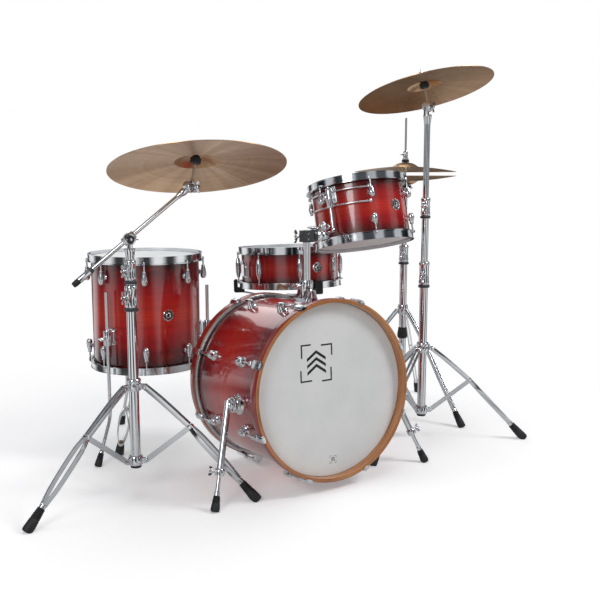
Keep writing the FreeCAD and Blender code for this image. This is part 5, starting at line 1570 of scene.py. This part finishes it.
class KitSnareStand(bpy.types.Operator):
    """Snare stand: tripod, height tube and the tilting basket with rubber tips"""
    bl_idname = "kit.snare_stand"
    bl_label = "Snare stand"

    def execute(self, context):
        hub = joint_at("snare_basket_tilt")
        at = Vector((hub.x, hub.y, 0))
        floor = stood(at)
        cast, chrome, rubber = finish("cast"), finish("chrome"), finish("rubber")
        base = Shape()
        sleeve(base, floor, BORE_R[0], TUBE_R[0], 60, 329, chrome)
        clamp(base, floor, TUBE_R[0] + 0.05, TUBE_R[0], (292, 330), WING_AZIMUTH, cast, 14)
        turned(base, floor, [(14.4, 226), (17, 226), (20.3, 230), (20.3, 256), (18, 262), (14.4, 262)],
               cast, 44, hollow=True)
        for i in range(3):
            fixed_leg(base, floor, 30 + 120 * i, 250, 246, 22.3, 60)
        base.piece("snare_stand_tripod_and_tube", "root", "chrome", "snare_stand_base")
        height = hub.z / MM
        tube = Shape()
        sleeve(tube, floor, 10.2, 12.22, 150, height - 31, chrome)
        turned(tube, floor, [(0, height - 33), (11, height - 33), (12.2, height - 31), (12.2, height - 18),
                             (10, height - 16), (0, height - 16)], cast, 36)
        hinge_disc(tube, stood(hub, -RIGHT, UP), cast, 15)
        brick(tube, stood(hub), (-12, -7.6, -20), (-0.6, 7.6, 0), cast, 2, 1)
        tube.piece("snare_stand_height_tube", "snare_tube", "chrome", "snare_stand_tube")
        self.basket(hub, cast, chrome, rubber)
        return {"FINISHED"}

    def basket(self, hub, cast, chrome, rubber):
        """Hub with three flat arms that turn up into rubber grips under the snare's hoop."""
        shape = Shape()
        axis = leaned(SNARE["lean"])
        place = stood(hub, axis, RIGHT)
        hinge_disc(shape, stood(hub, RIGHT, UP), cast, 15)
        peg(shape, place, (6, 0, 0), (6, 0, 20), 5, cast)
        turned(shape, place, [(0, 18), (18, 18), (20, 20), (20, 26), (18, 28), (0, 28)], cast, 40)
        hoop = SNARE["r"] + ROD_OUT + 3.6
        under = (middle("snare_shell") - hub).dot(axis) / MM - SNARE["h"] / 2 - 11.0
        for i in range(3):
            spun = place @ turn_about_z(267.9 + 120 * i)
            arm = [(16, 0, 23), (70, 0, 34), (hoop - 60, 0, under - 26), (hoop - 8, 0, under - 15)]
            section = rounded([(-5.5, -3.2), (5.5, -3.2), (5.5, 3.2), (-5.5, 3.2)], 1.8, 3)
            swept(shape, spun, curved(arm, 8), section, chrome, side=BACK)
            upright = spun @ ON_EDGE
            grip = [(hoop - 25, under - 19), (hoop + 9, under - 19), (hoop + 13.6, under - 14),
                    (hoop + 13.6, under + 24), (hoop + 11, under + 29.6), (hoop + 2, under + 29.6),
                    (hoop + 0.3, under + 26), (hoop + 0.3, under - 0.4), (hoop - 25, under - 0.4)]
            slab(shape, upright, rounded(grip, 2.4, 3), -13.4, 13.4, rubber, 1.0)
        shape.piece("snare_basket_arms_and_grips", "snare", "chrome", "snare_basket")


# ---- stage ----------------------------------------------------------------------------------------
CAMERA_AT = (-1.41463, -2.40102, 0.9035)
CAMERA_TURN = (81.73, 0, -32.81)
LENS = 50.09
# name, place, what it faces, diameter in metres, watts
LAMPS = (("key", (2.4, -2.4, 3.4), (0.1, 0, 0.4), 1.4, 76),
         ("fill", (-3.0, -2.0, 2.4), (0, 0, 0.5), 1.5, 34),
         ("top", (0.1, 0.5, 4.2), (0, 0, 0), 3.0, 56),
         ("rear", (0.6, 3.4, 2.8), (0, 0, 0.5), 2.2, 16))
FLOOR_REACH = 30
PANELS = 7


class KitStage(bpy.types.Operator):
    """Camera, studio lights and the pale floor, with its painted glow, painted shade and painted reflection
    bands
    """
    bl_idname = "kit.stage"
    bl_label = "Stage"

    def execute(self, context):
        scene = context.scene
        data = bpy.data.cameras.new("camera")
        data.lens, data.sensor_width = LENS, 36.0
        data.clip_end = 100
        camera = bpy.data.objects.new("camera", data)
        camera.location = CAMERA_AT
        camera.rotation_euler = [math.radians(angle) for angle in CAMERA_TURN]
        scene.collection.objects.link(camera)
        scene.camera = camera
        for lamp in LAMPS:
            self.lamp(*lamp)
        floor = bpy.data.meshes.new("floor")
        corners = [(x * FLOOR_REACH, y * FLOOR_REACH, 0) for x, y in ((-1, -1), (1, -1), (1, 1), (-1, 1))]
        floor.from_pydata(corners, [], [(0, 1, 2, 3)])
        stage = bpy.data.objects.new("floor", floor)
        scene.collection.objects.link(stage)
        material, tree, shader = surface("studio_floor_with_painted_glow_and_shade", "#F4F4F4", Roughness=0.55,
                                         Specular_IOR_Level=0.0)
        spot = local_place(tree)
        feed(shader, "Roughness", spread(tree, noise(tree, spot, 333.3), 0.5, 0.62))
        away = spread(tree, radius_of(tree, spot), 0.0, 1.0, 0.75, 1.7)
        seen = node(tree, "ShaderNodeLightPath").outputs["Is Camera Ray"]
        # painted shade: near the kit the floor is white to the camera but grey to every other ray, so the
        # kit's undersides and plating get less light from it
        near = mixed(tree, seen, linear("#A2A2A2"), linear("#F4F4F4"))
        feed(shader, "Base Color", mixed(tree, away, near, [0, 0, 0, 1]))
        shader.inputs["Emission Color"].default_value = linear("#FFFFFF")
        # painted light: the floor glows evenly near the kit, which lifts its shadows; far off it glows white
        # to the camera and, to every other ray, in light and dark bands that the plating shows as painted
        # reflections
        panels = spread(tree, round_bands(tree, spot, PANELS), 0.05, 0.95, -0.7, 0.7)
        far = maths(tree, "MAXIMUM", seen, panels)
        painted_floor_glow = maths(tree, "ADD", maths(tree, "MULTIPLY", away, maths(tree, "SUBTRACT", far, 0.26)), 0.26)
        feed(shader, "Emission Strength", painted_floor_glow)
        floor.materials.append(material)
        self.sky(scene)
        scene.view_settings.view_transform = "Standard"
        scene.view_settings.exposure = 0.0
        return {"FINISHED"}

    def lamp(self, name, at, towards, size, power):
        data = bpy.data.lights.new(name, "AREA")
        data.shape, data.size, data.energy = "DISK", size, power
        lamp = bpy.data.objects.new(name, data)
        lamp.location = at
        lamp.rotation_euler = (Vector(at) - Vector(towards)).to_track_quat("Z", "Y").to_euler()
        bpy.context.scene.collection.objects.link(lamp)

    def sky(self, scene):
        """A white surround with dark panels low down, which plated metal shows as dark lines."""
        world = bpy.data.worlds.new("studio")
        scene.world = world
        world.use_nodes = True
        tree = world.node_tree
        back = tree.nodes["Background"]
        spot = node(tree, "ShaderNodeTexCoord").outputs["Generated"]
        parts = node(tree, "ShaderNodeSeparateXYZ", links={"Vector": spot})
        panels = spread(tree, round_bands(tree, spot, PANELS), 0.0, 1.0, -0.5, 0.5)
        banded = ramp(tree, panels, [(0.0, "#1A1C1F"), (0.45, "#5C6065"), (0.75, "#C4C7CB"),
                                     (1.0, "#F4F5F7")])
        rising = spread(tree, parts.outputs["Z"], 0.0, 1.0, 0.15, 0.8)
        tree.links.new(mixed(tree, rising, banded, linear("#9A9EA4")), back.inputs["Color"])
        back.inputs["Strength"].default_value = 0.7
        seen = node(tree, "ShaderNodeBackground", values={"Color": linear("#FFFFFF"), "Strength": 1.0})
        choice = node(tree, "ShaderNodeLightPath").outputs["Is Camera Ray"]
        both = node(tree, "ShaderNodeMixShader", links={0: choice, 1: back.outputs[0], 2: seen.outputs[0]})
        tree.links.new(both.outputs[0], tree.nodes["World Output"].inputs["Surface"])


def round_bands(tree, spot, count):
    """A wave that goes round the Z axis: the studio's light and dark panels."""
    parts = node(tree, "ShaderNodeSeparateXYZ", links={"Vector": spot})
    angle = maths(tree, "ARCTAN2", parts.outputs["Y"], parts.outputs["X"])
    return maths(tree, "SINE", maths(tree, "MULTIPLY", angle, count))


class KitPanel(bpy.types.Panel):
    bl_idname = "VIEW3D_PT_drum_kit"
    bl_label = "Drum kit"
    bl_space_type = "VIEW_3D"
    bl_region_type = "UI"
    bl_category = "Drum kit"

    def draw(self, context):
        for group in (look_of(context), sizes_of(context)):
            for name in group.__annotations__:
                self.layout.prop(group, name)
        for operator in OPERATORS:
            self.layout.operator(operator.bl_idname)


OPERATORS = (KitStage, KitBassDrum, KitFloorTom, KitRackTom, KitSnare, KitCymbals, KitBoomStand, KitCrashStand,
             KitHiHat, KitSnareStand)
CLASSES = (KitLook, KitSizes) + OPERATORS + (KitPanel,)
ROUND, ROW = round_tree(), row_tree()


def register():
    for item in CLASSES:
        bpy.utils.register_class(item)
    bpy.types.Scene.kit_look = PointerProperty(type=KitLook)
    bpy.types.Scene.kit_sizes = PointerProperty(type=KitSizes)


def unregister():
    del bpy.types.Scene.kit_look
    del bpy.types.Scene.kit_sizes
    for item in reversed(CLASSES):
        bpy.utils.unregister_class(item)


def main():
    register()
    make_finishes(look_of(bpy.context))
    for operator in OPERATORS:
        getattr(bpy.ops.kit, operator.bl_idname.split(".")[1])()


if __name__ == "__main__":
    main()
